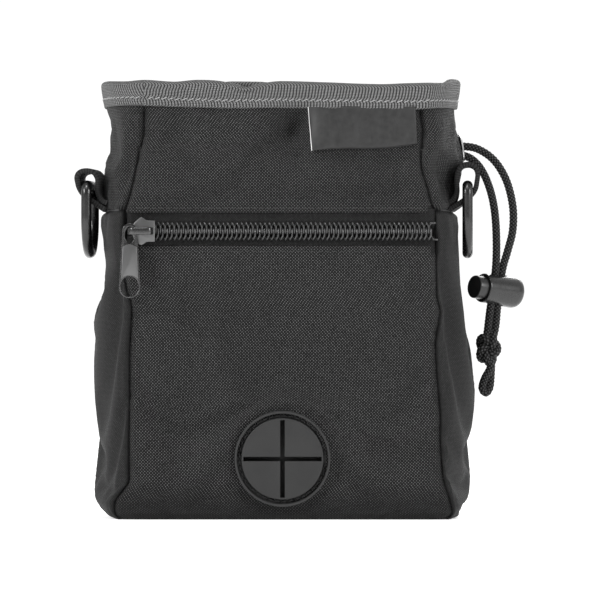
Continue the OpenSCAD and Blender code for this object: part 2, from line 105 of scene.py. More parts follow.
def make_lights():
    make_world()
    middle = (0, 0, 0.09)
    area_light("key", (-1.1, -0.75, 0.75), middle, (0.4, 0.5), 15)
    area_light("fill", (1.15, -0.75, 0.6), middle, (0.4, 0.6), 11)
    area_light("top", (-0.1, -0.5, 1.3), middle, (0.5, 0.4), 8)
    area_light("back", (0.5, 1.2, 0.8), middle, (0.5, 0.5), 8)
    bpy.context.scene.view_settings.view_transform = "Standard"


def make_stage():
    """A wide pale floor."""
    x, y = np.meshgrid(np.linspace(-20000, 20000, 21), np.linspace(-20000, 20000, 21))
    points = np.stack([x, y, np.full_like(x, -0.05)], 2)
    grid("floor", points, cloth_uv(points), STAGE)


# ---------- Node helpers ----------

class Tree:
    """The node tree of one material. Its lengths are in millimetres."""

    def __init__(self, name):
        self.material = bpy.data.materials.new(name)
        self.material.use_nodes = True
        self.nodes = self.material.node_tree.nodes
        self.links = self.material.node_tree.links
        self.nodes.clear()

    def add(self, kind, inputs=None, **settings):
        node = self.nodes.new("ShaderNode" + kind)
        for key, value in settings.items():
            setattr(node, key, value)
        for key, value in (inputs or {}).items():
            socket = node.inputs[key]
            if isinstance(value, bpy.types.NodeSocket):
                self.links.new(value, socket)
            else:
                socket.default_value = value
        return node

    def math(self, operation, a, b=0.0):
        return self.add("Math", {0: a, 1: b}, operation=operation).outputs[0]

    def times(self, *factors):
        value = factors[0]
        for factor in factors[1:]:
            value = self.math("MULTIPLY", value, factor)
        return value

    def range(self, value, low, high, to_low=0.0, to_high=1.0):
        inputs = {"Value": value, "From Min": low, "From Max": high, "To Min": to_low, "To Max": to_high}
        return self.add("MapRange", inputs).outputs[0]

    def cloth(self):
        """The two distances along the cloth."""
        split = self.add("SeparateXYZ", {0: self.add("UVMap", uv_map="cloth").outputs[0]})
        return split.outputs[0], split.outputs[1]

    def place(self):
        """The place in the pouch's frame."""
        metres = self.add("TexCoord").outputs["Object"]
        return self.add("VectorMath", {0: metres, "Scale": 1 / MM}, operation="SCALE").outputs[0]

    def noise(self, vector, size, detail=3.0):
        """Noise whose largest features are about this size."""
        return self.add("TexNoise", {"Vector": vector, "Scale": 1 / size, "Detail": detail}).outputs[0]

    def ridge(self, distance, pitch):
        """Round ridges a pitch apart: 1 on their crowns and 0 between them."""
        return self.math("ABSOLUTE", self.math("SINE", self.math("MULTIPLY", distance, math.pi / pitch)))

    def shade(self, factor, dark, light):
        inputs = {"Factor": factor, 6: (*dark, 1), 7: (*light, 1)}
        return self.add("Mix", inputs, data_type="RGBA").outputs[2]

    def bump(self, height, depth, strength=1.0, under=None):
        inputs = {"Height": height, "Distance": depth * MM, "Strength": strength}
        if under is not None:
            inputs["Normal"] = under
        return self.add("Bump", inputs).outputs[0]

    def finish(self, **inputs):
        named = {key.replace("_", " "): value for key, value in inputs.items()}
        surface = self.add("BsdfPrincipled", named)
        self.add("OutputMaterial", {"Surface": surface.outputs[0]})
        return self.material


def grey(value):
    return (value, value, value)


def scaled(colour, factor):
    return tuple(channel * factor for channel in colour)


# ---------- Materials ----------

def woven(name, pitch, dark, light, depth=0.16, rough=0.62, weft_shade=0.22):
    """Plain-woven synthetic fabric. Its warp is painted a little lighter than its weft as a painted highlight
    on the warp floats, the gaps between its yarns are painted darker as painted shade, and it is painted
    darker towards the base as painted shade.
    """
    tree = Tree(name)
    u, v = tree.cloth()
    place = tree.place()
    u = tree.math("ADD", u, tree.range(tree.noise(place, 4, 2), 0, 1, -0.12, 0.12))
    a = tree.math("SINE", tree.math("MULTIPLY", u, math.pi / pitch))
    b = tree.math("SINE", tree.math("MULTIPLY", v, math.pi / pitch))
    warp_up = tree.range(tree.times(a, b), -0.25, 0.25)
    a, b = tree.math("ABSOLUTE", a), tree.math("ABSOLUTE", b)
    warp = tree.times(a, tree.range(b, 0, 1, 0.45, 1), warp_up)
    weft = tree.times(b, tree.range(a, 0, 1, 0.45, 1), tree.math("SUBTRACT", 1.0, warp_up))
    high = tree.math("ADD", warp, weft)
    # colour: painted highlight on the yarn crowns and warp floats, painted shade in the gaps between yarns,
    # random tone, and painted shade near the base
    lit = tree.times(tree.range(high, 0.35, 1), tree.range(warp_up, 0, 1, weft_shade, 1),
                     tree.range(tree.noise(place, 0.9, 2), 0.3, 0.7, 0.55, 1.35),
                     tree.range(tree.noise(place, 18), 0.3, 0.7, 0.88, 1.12),
                     # painted shade: darker from 15 mm down to the base
                     tree.range(tree.add("SeparateXYZ", {0: place}).outputs[2], 0, 15, 0.3, 1))
    return tree.finish(
        Base_Color=tree.shade(lit, dark, light),
        Roughness=tree.range(high, 0, 1, rough + 0.2, rough),
        Normal=tree.bump(high, depth, 0.8),
        Specular_IOR_Level=0.12, Sheen_Weight=0.02, Sheen_Roughness=0.45)


def coated_nylon(name, dark, light):
    """Thin lining with a faint fine weave and small creases."""
    tree = Tree(name)
    u, v = tree.cloth()
    high = tree.times(tree.ridge(u, 0.35), tree.ridge(v, 0.35))
    creases = tree.noise(tree.place(), 11, 4)
    lit = tree.times(tree.range(high, 0, 1, 0.6, 1), tree.range(creases, 0.3, 0.7, 0.7, 1.1))
    return tree.finish(
        Base_Color=tree.shade(lit, dark, light),
        Roughness=tree.range(creases, 0.3, 0.7, 0.42, 0.6),
        Normal=tree.bump(high, 0.05, 0.5, tree.bump(creases, 1.2, 0.5)),
        Specular_IOR_Level=0.2, Sheen_Weight=0.04, Sheen_Roughness=0.4)


def ribbed(name, rib, cross, dark, light, depth):
    """Grosgrain tape: ribs across its length, crossed by the fine warp."""
    tree = Tree(name)
    u, v = tree.cloth()
    place = tree.place()
    u = tree.math("ADD", u, tree.range(tree.noise(place, 5, 2), 0, 1, -0.3, 0.3))
    high = tree.times(tree.math("POWER", tree.ridge(u, rib), 0.8),
                      tree.range(tree.ridge(v, cross), 0, 1, 0.45, 1))
    lit = tree.times(tree.range(high, 0.2, 1), tree.range(tree.noise(place, 0.15, 2), 0.3, 0.7, 0.85, 1.1))
    return tree.finish(
        Base_Color=tree.shade(lit, dark, light),
        Roughness=tree.range(high, 0, 1, 0.85, 0.62),
        Normal=tree.bump(high, depth, 0.9),
        Specular_IOR_Level=0.12, Sheen_Weight=0.03, Sheen_Roughness=0.5)


def satin_label(name, dark, light, edge):
    """A blank satin-woven label, whose cut edge at the start of the cloth is pale."""
    tree = Tree(name)
    u, v = tree.cloth()
    lines = tree.ridge(v, 0.3)
    mottle = tree.noise(tree.place(), 2)
    cloth = tree.shade(tree.times(tree.range(lines, 0, 1, 0.8, 1), mottle), dark, light)
    start = tree.range(u, 0.2, 0.35, 1, 0)
    colour = tree.add("Mix", {"Factor": start, 6: cloth, 7: (*edge, 1)}, data_type="RGBA").outputs[2]
    return tree.finish(
        Base_Color=colour,
        Roughness=tree.range(mottle, 0.3, 0.7, 0.4, 0.52),
        Normal=tree.bump(lines, 0.03, 0.6, tree.bump(mottle, 0.2, 0.3)),
        Specular_IOR_Level=0.25, Sheen_Weight=0.03, Sheen_Roughness=0.35)


def cord_braid(name, dark, light):
    """Braided cord. Its cloth runs round the cord and along it."""
    tree = Tree(name)
    u, v = tree.cloth()
    place = tree.place()
    crown = tree.times(tree.ridge(tree.math("ADD", u, v), BRAID),
                       tree.ridge(tree.math("SUBTRACT", u, v), BRAID))
    fibre = tree.noise(place, 0.2)
    # colour: painted highlight on the strand crowns and painted shade in the hollows between strands, with
    # fibre tone
    lit = tree.times(tree.math("POWER", crown, 1.6), tree.range(fibre, 0.3, 0.75, 0.45, 1.3))
    return tree.finish(
        Base_Color=tree.shade(lit, dark, light),
        Roughness=tree.range(fibre, 0.3, 0.7, 0.5, 0.75),
        Normal=tree.bump(crown, 0.25, 0.7, tree.bump(fibre, 0.05, 0.5)),
        Specular_IOR_Level=0.12, Sheen_Weight=0.02, Sheen_Roughness=0.4)


def thread(name, colour):
    tree = Tree(name)
    twist = tree.range(tree.noise(tree.place(), 0.2, 2), 0.3, 0.7)
    return tree.finish(
        Base_Color=tree.shade(twist, scaled(colour, 0.5), colour),
        Roughness=tree.range(twist, 0, 1, 0.5, 0.7),
        Normal=tree.bump(twist, 0.05, 0.6))


def metal(name, colour, rough, spread=0.08, rubbed=0.3):
    """Plated metal with cloudy gloss, fine scratches and brighter rubbed edges."""
    tree = Tree(name)
    place = tree.place()
    cloud = tree.noise(place, 8)
    fine = tree.noise(place, 0.4)
    edges = tree.range(tree.add("NewGeometry").outputs["Pointiness"], 0.52, 0.6, 0, rubbed)
    lit = tree.math("ADD", tree.range(cloud, 0.3, 0.7, 0.4, 0.55), edges)
    return tree.finish(
        Base_Color=tree.shade(lit, scaled(colour, 0.7), scaled(colour, 1.3)),
        Metallic=1.0,
        Roughness=tree.range(tree.math("ADD", cloud, fine), 0.7, 1.3, rough - spread, rough + spread),
        Normal=tree.bump(fine, 0.02, 0.25))


def moulded(name, colour, rough, grain=0.3, depth=0.015, specular=0.45):
    """Plastic or rubber with the fine grain of its mould."""
    tree = Tree(name)
    place = tree.place()
    cloud = tree.noise(place, 9)
    spark = tree.noise(place, grain, 2)
    return tree.finish(
        Base_Color=tree.shade(tree.range(cloud, 0.3, 0.7), scaled(colour, 0.88), scaled(colour, 1.12)),
        Roughness=tree.range(tree.math("ADD", cloud, spark), 0.7, 1.3, rough - 0.05, rough + 0.08),
        Normal=tree.bump(spark, depth, 0.5),
        Specular_IOR_Level=specular)


def plain_stage(name, value):
    tree = Tree(name)
    return tree.finish(Base_Color=(value, value, value, 1), Roughness=0.9, Specular_IOR_Level=0.1,
                       Emission_Color=(1, 1, 1, 1), Emission_Strength=0.45)


BRAID = 1.5

SHELL = woven("woven_shell", 0.64, grey(0.002), grey(0.112), 0.28, weft_shade=0.12)
GUSSET = woven("lower_gusset", 0.5, grey(0.005), grey(0.05), 0.12, 0.6, 0.45)
LINING = coated_nylon("lining", grey(0.03), grey(0.075))
BINDING = ribbed("binding", 1.25, 0.62, grey(0.003), grey(0.205), 0.4)
TAPE = woven("zip_tape", 0.5, grey(0.002), grey(0.04), 0.12, 0.62, 0.5)
COIL = moulded("zip_coil", grey(0.006), 0.3, 0.2, 0.01, 0.8)
ZIP_METAL = metal("zip_metal", grey(0.138), 0.4, 0.05)
BAIL_METAL = metal("bail_metal", grey(0.08), 0.26, 0.05)
RUBBER = moulded("dispenser_rubber", grey(0.022), 0.5, 0.5, 0.02, 0.25)
LABEL = satin_label("label", grey(0.012), grey(0.034), grey(0.7))
WEBBING = ribbed("webbing", 0.9, 0.6, grey(0.006), grey(0.03), 0.15)
RING_METAL = metal("ring_metal", grey(0.05), 0.28)
CORD = cord_braid("cord", grey(0.0015), grey(0.075))
NICKEL = metal("eyelet_metal", grey(0.5), 0.26, 0.06, 0.1)
LOCK_PLASTIC = moulded("lock_plastic", grey(0.015), 0.27)
BUTTON_PLASTIC = moulded("button_plastic", grey(0.012), 0.33)
SPRING_STEEL = metal("spring_steel", grey(0.5), 0.3)
CLIP_METAL = metal("clip_metal", grey(0.05), 0.42, 0.06, 0.4)
RIVET_METAL = metal("rivet_metal", grey(0.5), 0.28, 0.06)
GREY_THREAD = thread("grey_thread", grey(0.34))
BLACK_THREAD = thread("black_thread", grey(0.006))
STAGE = plain_stage("stage", 0.92)


# ---------- Mesh helpers ----------

def add_mesh(name, points, faces, face_uvs, material, smooth=True):
    """An object from points, faces and one cloth place for each face corner, all in millimetres."""
    mesh = bpy.data.meshes.new(name)
    mesh.from_pydata((np.asarray(points, float).reshape(-1, 3) * MM).tolist(), [], faces)
    if face_uvs is not None:
        mesh.uv_layers.new(name="cloth").data.foreach_set("uv", np.asarray(face_uvs, float).ravel())
    return add_object(name, mesh, material, smooth)


def add_object(name, mesh, material, smooth=True):
    mesh.name = name
    mesh.materials.clear()
    mesh.materials.append(material)
    mesh.polygons.foreach_set("use_smooth", [smooth] * len(mesh.polygons))
    obj = bpy.data.objects.new(name, mesh)
    bpy.context.scene.collection.objects.link(obj)
    return obj


def grid(name, points, uv, material, wrap=False, thick=0.0):
    """A surface through rows and columns of points. Where it wraps, uv has one more column than points."""
    rows, cols = points.shape[:2]
    r, c = np.meshgrid(np.arange(rows - 1), np.arange(cols if wrap else cols - 1), indexing="ij")
    corners = [(a.ravel(), b.ravel()) for a, b in ((r, c), (r, c + 1), (r + 1, c + 1), (r + 1, c))]
    faces = np.stack([a * cols + b % cols for a, b in corners], 1).tolist()
    obj = add_mesh(name, points, faces, np.stack([uv[a, b] for a, b in corners], 1), material)
    if thick:
        solid = obj.modifiers.new("thickness", "SOLIDIFY")
        solid.thickness = thick * MM
        solid.offset = -1
    return obj


def lengths(points, axis):
    """Distance along each row or column of a grid of points, from its start."""
    step = np.linalg.norm(np.diff(points, axis=axis), axis=2)
    total = np.cumsum(step, axis=axis)
    return np.concatenate([np.zeros_like(np.take(total, [0], axis=axis)), total], axis=axis)


def cloth_uv(points):
    """Places on the cloth: across each row from its middle, and up the middle column."""
    across = lengths(points, 1)
    middle = points.shape[1] // 2
    up = lengths(points, 0)[:, middle:middle + 1]
    return np.stack([across - across[:, middle:middle + 1], np.repeat(up, points.shape[1], 1)], 2)


def unit(v):
    return v / np.maximum(np.linalg.norm(v, axis=-1, keepdims=True), 1e-12)


def circle(radius, sides):
    turn = np.linspace(0, 2 * math.pi, sides, endpoint=False)
    return radius * np.stack([np.cos(turn), np.sin(turn)], 1)


def walk(path):
    """Distance along a path at each of its points."""
    return np.concatenate([[0], np.cumsum(np.linalg.norm(np.diff(path, axis=0), axis=1))])


def evenly(path, spacing):
    """The same path with its points a spacing apart."""
    along = walk(path)
    places = np.linspace(0, along[-1], max(2, round(along[-1] / spacing) + 1))
    return np.stack([np.interp(places, along, path[:, k]) for k in range(path.shape[1])], 1)


def spline(route, steps):
    """A smooth curve through the route's points, with steps from each to the next."""
    p = np.asarray(route, float)
    t = np.linspace(0, 1, steps, endpoint=False)[:, None]
    out = []
    for i in range(len(p) - 1):
        a, b, c, d = p[max(i - 1, 0)], p[i], p[i + 1], p[min(i + 2, len(p) - 1)]
        out.append(0.5 * (2 * b + (c - a) * t + (2 * a - 5 * b + 4 * c - d) * t**2
                          + (3 * b - a - 3 * c + d) * t**3))
    return np.concatenate(out + [p[-1:]])


def sweep(name, path, outline, material, start=(0.0, 1.0, 0.0), around=None):
    """Carries a closed outline along a path, with capped ends. The outline may change from point to point."""
    path = np.asarray(path, float)
    ahead = unit(np.gradient(path, axis=0))
    side = np.zeros_like(path)
    last = np.array(start, float)
    for i, t in enumerate(ahead):
        last = unit(last - t * last.dot(t))
        side[i] = last
    other = np.cross(ahead, side)
    shape = np.broadcast_to(outline, (len(path),) + np.shape(outline)[-2:])
    points = path[:, None] + shape[..., :1] * side[:, None] + shape[..., 1:] * other[:, None]
    rows, sides = points.shape[:2]
    ring = walk(np.concatenate([shape[0], shape[0][:1]]))
    ring = ring * (around or ring[-1]) / ring[-1]
    obj = grid(name, points, np.stack(np.meshgrid(ring, walk(path)), 2), material, wrap=True)
    close_ends(obj, rows, sides)
    return obj


@contextlib.contextmanager
def editing(obj):
    """An object's mesh opened for editing, and written back afterwards."""
    build = bmesh.new()
    build.from_mesh(obj.data)
    yield build
    build.to_mesh(obj.data)
    build.free()


def close_ends(obj, rows, sides):
    """Caps a tube's two ends."""
    with editing(obj) as build:
        build.verts.ensure_lookup_table()
        for ring in (range(sides - 1, -1, -1), range((rows - 1) * sides, rows * sides)):
            build.faces.new([build.verts[i] for i in ring])


def lathe(name, profile, origin, axis, material, steps=96):
    """Turns a profile of (radius, height) about an axis through the origin."""
    axis = unit(np.array(axis, float))
    side = unit(np.cross(axis, (0.0, 0.31, 0.95)))
    other = np.cross(axis, side)
    profile = np.asarray(profile, float)
    turn = np.linspace(0, 2 * math.pi, steps, endpoint=False)[:, None]
    ring = np.cos(turn) * side + np.sin(turn) * other
    points = np.array(origin) + profile[:, :1, None] * ring + profile[:, 1:, None] * axis
    around = np.linspace(0, 2 * math.pi, steps + 1) * profile[:, 0].max()
    obj = grid(name, points, np.stack(np.meshgrid(around, walk(profile)), 2), material, wrap=True)
    merge(obj)
    shade_by_angle(obj)
    return obj


def merge(obj):
    with editing(obj) as build:
        bmesh.ops.remove_doubles(build, verts=build.verts, dist=1e-3 * MM)
        bmesh.ops.recalc_face_normals(build, faces=build.faces)


def shade_by_angle(obj, degrees=35):
    """Smooth, apart from edges sharper than an angle."""
    obj.data.polygons.foreach_set("use_smooth", [True] * len(obj.data.polygons))
    obj.data.set_sharp_from_angle(angle=math.radians(degrees))


def rounded(profile, radius, steps=4):
    """An open profile with its inner corners rounded."""
    p = np.asarray(profile, float)
    out = [p[0]]
    for before, here, after in zip(p, p[1:], p[2:]):
        back, on = before - here, after - here
        reach = min(radius, 0.45 * np.linalg.norm(back), 0.45 * np.linalg.norm(on))
        a, b = here + unit(back) * reach, here + unit(on) * reach
        for t in np.linspace(0, 1, steps):
            out.append((1 - t) ** 2 * a + 2 * t * (1 - t) * here + t * t * b)
    return np.array(out + [p[-1]])


def plate(name, outlines, thick, bevel, to_world, material):
    """A flat plate with holes and rounded edges, from closed (x, y) outlines. to_world places its points."""
    curve = bpy.data.curves.new(name, "CURVE")
    curve.dimensions = "2D"
    curve.fill_mode = "BOTH"
    curve.extrude = thick / 2 - bevel
    curve.bevel_depth = bevel
    curve.bevel_resolution = 2
    curve.offset = -bevel
    for outline in outlines:
        line = curve.splines.new("POLY")
        line.points.add(len(outline) - 1)
        for point, (x, y) in zip(line.points, outline):
            point.co = (x, y, 0, 1)
        line.use_cyclic_u = True
    holder = bpy.data.objects.new(name, curve)
    bpy.context.scene.collection.objects.link(holder)
    bpy.context.view_layer.update()
    mesh = bpy.data.meshes.new_from_object(holder.evaluated_get(bpy.context.evaluated_depsgraph_get()))
    bpy.data.objects.remove(holder)
    points = np.zeros(len(mesh.vertices) * 3)
    mesh.vertices.foreach_get("co", points)
    mesh.vertices.foreach_set("co", np.asarray(to_world(points.reshape(-1, 3)), float).ravel() * MM)
    obj = add_object(name, mesh, material)
    merge(obj)
    shade_by_angle(obj)
    return obj


def placed(points, origin, x_axis, y_axis, z_axis):
    """Points in a local frame, moved to the pouch's frame."""
    return np.asarray(points, float) @ np.array([x_axis, y_axis, z_axis], float) + np.array(origin, float)


def cut(obj, cutters):
    """Takes the cutters out of an object."""
    for cutter in cutters:
        boolean = obj.modifiers.new("cut", "BOOLEAN")
        boolean.operation = "DIFFERENCE"
        boolean.solver = "EXACT"
        boolean.object = cutter
    bpy.context.view_layer.update()
    obj.data = bpy.data.meshes.new_from_object(obj.evaluated_get(bpy.context.evaluated_depsgraph_get()))
    obj.modifiers.clear()
    for cutter in cutters:
        bpy.data.objects.remove(cutter)
    shade_by_angle(obj)


def join(name, parts):
    with bpy.context.temp_override(active_object=parts[0], selected_editable_objects=parts):
        bpy.ops.object.join()
    parts[0].name = name
    return parts[0]


def piece(obj, body, slot, *nodes):
    """Lets a piece ride on a body and hides the CAD nodes it stands for. slot is not used."""
    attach(obj, body)
    if nodes:
        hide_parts(*nodes)
    return obj


def curve_through(table):
    """A smooth curve through (place, value) pairs, without overshoot."""
    x, y = np.array(table, float).T
    slope = np.diff(y) / np.diff(x)
    tangent = np.concatenate([slope[:1], (slope[1:] + slope[:-1]) / 2, slope[-1:]])
    tangent[1:-1][slope[1:] * slope[:-1] <= 0] = 0
    limit = 3 * np.minimum(np.abs(np.append(slope, slope[-1])), np.abs(np.insert(slope, 0, slope[0])))
    tangent = np.clip(tangent, -limit, limit)

    def at(place):
        place = np.clip(place, x[0], x[-1])
        i = np.clip(np.searchsorted(x, place, "right") - 1, 0, len(x) - 2)
        h = x[i + 1] - x[i]
        t = (place - x[i]) / h
        return (y[i] * (1 + 2 * t) * (1 - t) ** 2 + h * tangent[i] * t * (1 - t) ** 2
                + y[i + 1] * t * t * (3 - 2 * t) + h * tangent[i + 1] * t * t * (t - 1))
    return at


# ---------- Shape of the bag ----------

PANEL_TOP = 173.8
WIDEST_Y = 10
BACK_SWELL = 1.5
FOOT_H = 14
FOOT_FRONT = 5
FABRIC = 1.2
DISPENSER_AT = np.array([0.6, -30.5, 24.6])
# Lengths of the front, one gusset and the back round the bag, and half of the whole way round
FRONT_L = 123
GUSSET_L = 61
BACK_L = 145
BACK = (FRONT_L + BACK_L) // 2 + GUSSET_L

# Distance of each side of the bag from its middle plane, at a height
right_side = curve_through([
    (0, 69.8), (1, 72), (3, 72.2), (5, 72.6), (9, 74.1), (16, 75), (24, 75.8), (32, 76.1), (40, 76.9),
    (50, 78), (70, 79), (80, 77.8), (96, 74.4), (105, 72.6), (124, 72.2), (132, 71.6), (140, 70.9),
    (158, 70.5), (165, 70.2), (175, 71.3)])
left_side = curve_through([
    (0, 67.8), (1, 70), (3, 71.6), (5, 72.3), (9, 73.9), (16, 74.4), (30, 74.9), (50, 76.3), (70, 76.4),
    (84, 76), (90, 75.3), (98, 71.5), (104, 69), (110, 70.8), (124, 73.8), (130, 73), (137, 71.9),
    (142, 71), (147, 69.3), (154, 68.6), (158, 68.6), (165, 70.8), (175, 72.3)])
# Distance of the front panel's two seams from the middle plane
right_seam = curve_through([
    (0, 66), (3, 68.3), (9, 66.9), (16, 65.2), (29, 64), (43, 63.6), (63, 62), (70, 61.7), (80, 63),
    (84, 63.4), (89, 62.2), (102, 61.9), (116, 61.4), (124, 60.5), (132, 58.8), (143, 56.1),
    (154, 56.6), (164, 55.6), (175, 55.4)])
left_seam = curve_through([
    (0, 64), (3, 66.3), (7, 66.4), (11.6, 63.6), (16, 60.8), (43, 60.7), (70, 60.4), (85, 59.7),
    (92, 61.4), (98, 62.4), (118, 62.5), (123, 62.2), (129, 60.6), (137, 58.7), (147, 56.8), (155, 55),
    (175, 54.8)])
# How far the front swells forward in the middle
front_swell = curve_through([
    (0, 0), (10, 1), (50, 5), (90, 2.5), (105, 0), (127, 0), (145, 1.5), (160, 0.5), (175, 1)])


# Soft folds and dents: middle along the turn in millimetres from the middle of the front, height, half
# length, half width, lean in degrees and how far it stands out before FOLD_DEPTH scales it
FOLDS = [
    (5, 157, 9, 6, 55, -4.4),
    (-10, 146, 20, 6, 40, -1.6),
    (-32, 136, 22, 6, 25, 1.3),
    (18, 144, 10, 4, -50, 1),
    (36, 145, 18, 4, -4, -1.5),
    (34, 137, 24, 5, 8, 1),
    (-48, 152, 14, 5, 70, -1.2),
    (50, 138, 14, 4, 70, -1.2),
    (-66, 143, 15, 6, 75, -1.8),
    (-74, 150, 15, 5, 100, 1.3),
    (66, 148, 14, 5, 50, 1.8),
    (74, 142, 10, 4, 120, -1.4),
    (77, 134, 6, 7, 90, -2.2),
    (-70, 88, 26, 5, 75, -1.6),
    (-64, 60, 34, 4, 95, 0.9),
    (72, 80, 30, 5, 105, -1.6),
    (66, 44, 30, 5, 85, 0.9),
    (-48, 20, 22, 6, 30, 1.3),
    (-30, 10, 26, 6, 12, -1.1),
    (46, 16, 22, 6, -28, 1.3),
    (32, 14, 16, 7, -20, -1.1),
    (-42, 84, 26, 9, -35, -0.9),
    (-46, 50, 30, 9, 70, 0.8),
    (8, 72, 34, 16, 75, -1.2),
    (46, 66, 34, 9, 100, 1),
    (30, 98, 24, 7, 15, 0.7),
    (102, 146, 9, 9, 90, 2.6),
    (90, 112, 15, 10, 0, -1.9),
    (-90, 117, 14, 8, 0, -0.7),
]


FOLD_DEPTH = 1.35
NO_FOLDS = 400


def folds(s, z):
    """How far the folds stand out. The back, whose places count as NO_FOLDS, has none."""
    along = np.where(s < 1, (s - 0.5) * FRONT_L,
                     np.where(s < 2, GUSSET_L + (s - 1) * GUSSET_L,
                              np.where(s > 3, (s - 4) * GUSSET_L - GUSSET_L, NO_FOLDS)))
    total = np.zeros_like(along)
    for middle, height, half_l, half_w, lean, out in FOLDS:
        c, d = math.cos(math.radians(lean)), math.sin(math.radians(lean))
        a = (along - middle) * c + (z - height) * d
        b = (z - height) * c - (along - middle) * d
        total = total + FOLD_DEPTH * out * np.exp(-(a / half_l) ** 2 - (b / half_w) ** 2)
    from_dispenser = np.hypot(along - DISPENSER_AT[0], z - DISPENSER_AT[2])
    return total - 0.9 * np.exp(-((from_dispenser - 19.5) / 2.5) ** 2)


def foot(z):
    return np.clip(1 - z / FOOT_H, 0, 1) ** 2.2


def smooth_shell(s, z, inset=0.0):
    """A point on the bag, as the panels would lie with no sag. inset is how far it is inside the surface."""
    s, z, inset = np.broadcast_arrays(np.mod(s, 4.0), np.asarray(z, float), inset)
    inset = inset - folds(s, z)
    depth = HALF_D - FOOT_FRONT * foot(z) ** 2
    left = s >= 2.5
    side = np.where(left, left_side(z), right_side(z))
    seam = np.where(left, left_seam(z), right_seam(z))
    u = 2 * s - 1
    front_x = (right_seam(z) - left_seam(z)) / 2 + u * (right_seam(z) + left_seam(z)) / 2
    front = np.stack([front_x, -depth - front_swell(z) * (1 - u * u) + inset], -1)
    v = np.where(left, 4 - s, s - 1)
    bend = np.clip(v / 0.6, 0, 1) * math.pi / 2
    behind = np.clip((v - 0.6) / 0.4, 0, 1)
    x = seam + (side - inset - seam) * np.sin(bend) - 3 * behind ** 2
    y = WIDEST_Y - (WIDEST_Y + depth - inset) * np.cos(bend) + behind * (depth - inset - WIDEST_Y)
    gusset = np.stack([np.where(left, -x, x), y], -1)
    w = 5 - 2 * s
    back_x = (right_side(z) - left_side(z)) / 2 + w * ((right_side(z) + left_side(z)) / 2 - inset - 3)
    back = np.stack([back_x, depth - inset + BACK_SWELL * (1 - w * w)], -1)
    flat = np.where((s < 1)[..., None], front, np.where(((s >= 2) & (s <= 3))[..., None], back, gusset))
    return np.concatenate([flat, z[..., None]], -1)


# ---------- Sag ----------

SAG_SCALE = 10
SAG_FRAMES = 24
HOLD_REACH = 3.5
SAG_S = np.concatenate([np.linspace(0, 1, 50), np.linspace(1, 2, 26)[1:], np.linspace(2, 3, 50)[1:],
                        np.linspace(3, 4, 26)[1:-1]])
SAG_Z = np.linspace(0, 174, 70)


def hold(s, z):
    """How firmly each place of the shell is held: 1 at seams and fittings, and little in mid panel."""
    far = 1000

    def beyond(distance, reach):
        return np.clip(distance - reach, 0, None)

    front = np.where(s < 1, 0, far)
    side = np.where((s > 1) & (s < 2) | (s > 3), 0, far)
    x, y = (2 * s - 1) * (FRONT_L / 2), smooth_shell(s, z)[..., 1]
    gaps = {
        "mouth": beyond(162 - z, 0),
        "base": z,
        "zip": front + beyond(np.abs(z - 116), 9),
        "dispenser": front + beyond(np.hypot(x, z - DISPENSER_AT[2]), 20),
        "ring loops": side + np.hypot(beyond(np.abs(y + 4), 12), beyond(np.abs(z - 130), 8)),
        "eyelet": side + beyond(np.hypot(y - 16, z - 148.6), 6),
        "clip patch": np.where(np.abs(s - 2.5) < 0.14, 0, far) + beyond(np.abs(z - 93), 36)}
    firm = np.maximum(0.06, 0.5 * np.exp(-(np.abs(s - np.round(s)) * 60 / 3) ** 2))
    for gap in gaps.values():
        firm = np.maximum(firm, np.exp(-(gap / HOLD_REACH) ** 2))
    return firm


def simulate_sag():
    """Lets the shell settle as cloth that is cut a little larger than the shape it is held in."""
    s, z = np.meshgrid(SAG_S, SAG_Z)
    rest = smooth_shell(s, z)
    uv = cloth_uv(np.concatenate([rest, rest[:, :1]], 1))
    obj = grid("sag_cloth", rest * SAG_SCALE, uv, SHELL, wrap=True)
    held = obj.vertex_groups.new(name="held")
    for i, firm in enumerate(hold(s, z).ravel().tolist()):
        held.add([i], firm, "REPLACE")
    cloth = obj.modifiers.new("cloth", "CLOTH").settings
    cloth.vertex_group_mass = "held"
    cloth.pin_stiffness = 4
    cloth.quality = 6
    cloth.mass = 0.4
    cloth.tension_stiffness = cloth.compression_stiffness = 40
    cloth.shear_stiffness = 20
    cloth.bending_stiffness = 4
    cloth.shrink_min = -0.02
    scene = bpy.context.scene
    for frame_number in range(1, SAG_FRAMES + 1):
        scene.frame_set(frame_number)
    settled = obj.evaluated_get(bpy.context.evaluated_depsgraph_get()).data
    points = np.zeros(len(settled.vertices) * 3)
    settled.vertices.foreach_get("co", points)
    scene.frame_set(1)
    bpy.data.objects.remove(obj)
    moved = points.reshape(rest.shape) / MM / SAG_SCALE - rest
    return np.concatenate([moved, moved[:, :1]], 1)


sag = simulate_sag()


def sag_at(s, z):
    """How far the settled cloth has moved from the smooth shape."""
    if sag is None:
        return 0.0
    s, z = np.broadcast_arrays(np.mod(s, 4.0), np.asarray(z, float))
    cols = np.append(SAG_S, 4.0)
    i = np.clip(np.searchsorted(cols, s, "right") - 1, 0, len(cols) - 2)
    j = np.clip(np.searchsorted(SAG_Z, z, "right") - 1, 0, len(SAG_Z) - 2)
    a = np.clip((s - cols[i]) / (cols[i + 1] - cols[i]), 0, 1)[..., None]
    b = np.clip((z - SAG_Z[j]) / (SAG_Z[j + 1] - SAG_Z[j]), 0, 1)[..., None]
    low = sag[j, i] * (1 - a) + sag[j, i + 1] * a
    high = sag[j + 1, i] * (1 - a) + sag[j + 1, i + 1] * a
    return low * (1 - b) + high * b


def shell(s, z, inset=0.0):
    """A point on the bag as its cloth hangs."""
    return smooth_shell(s, z, inset) + sag_at(s, z)


# ---------- Panels ----------

GROOVE = 3
SEAM_W = 1.45
CLOTH_STEP = 1.3


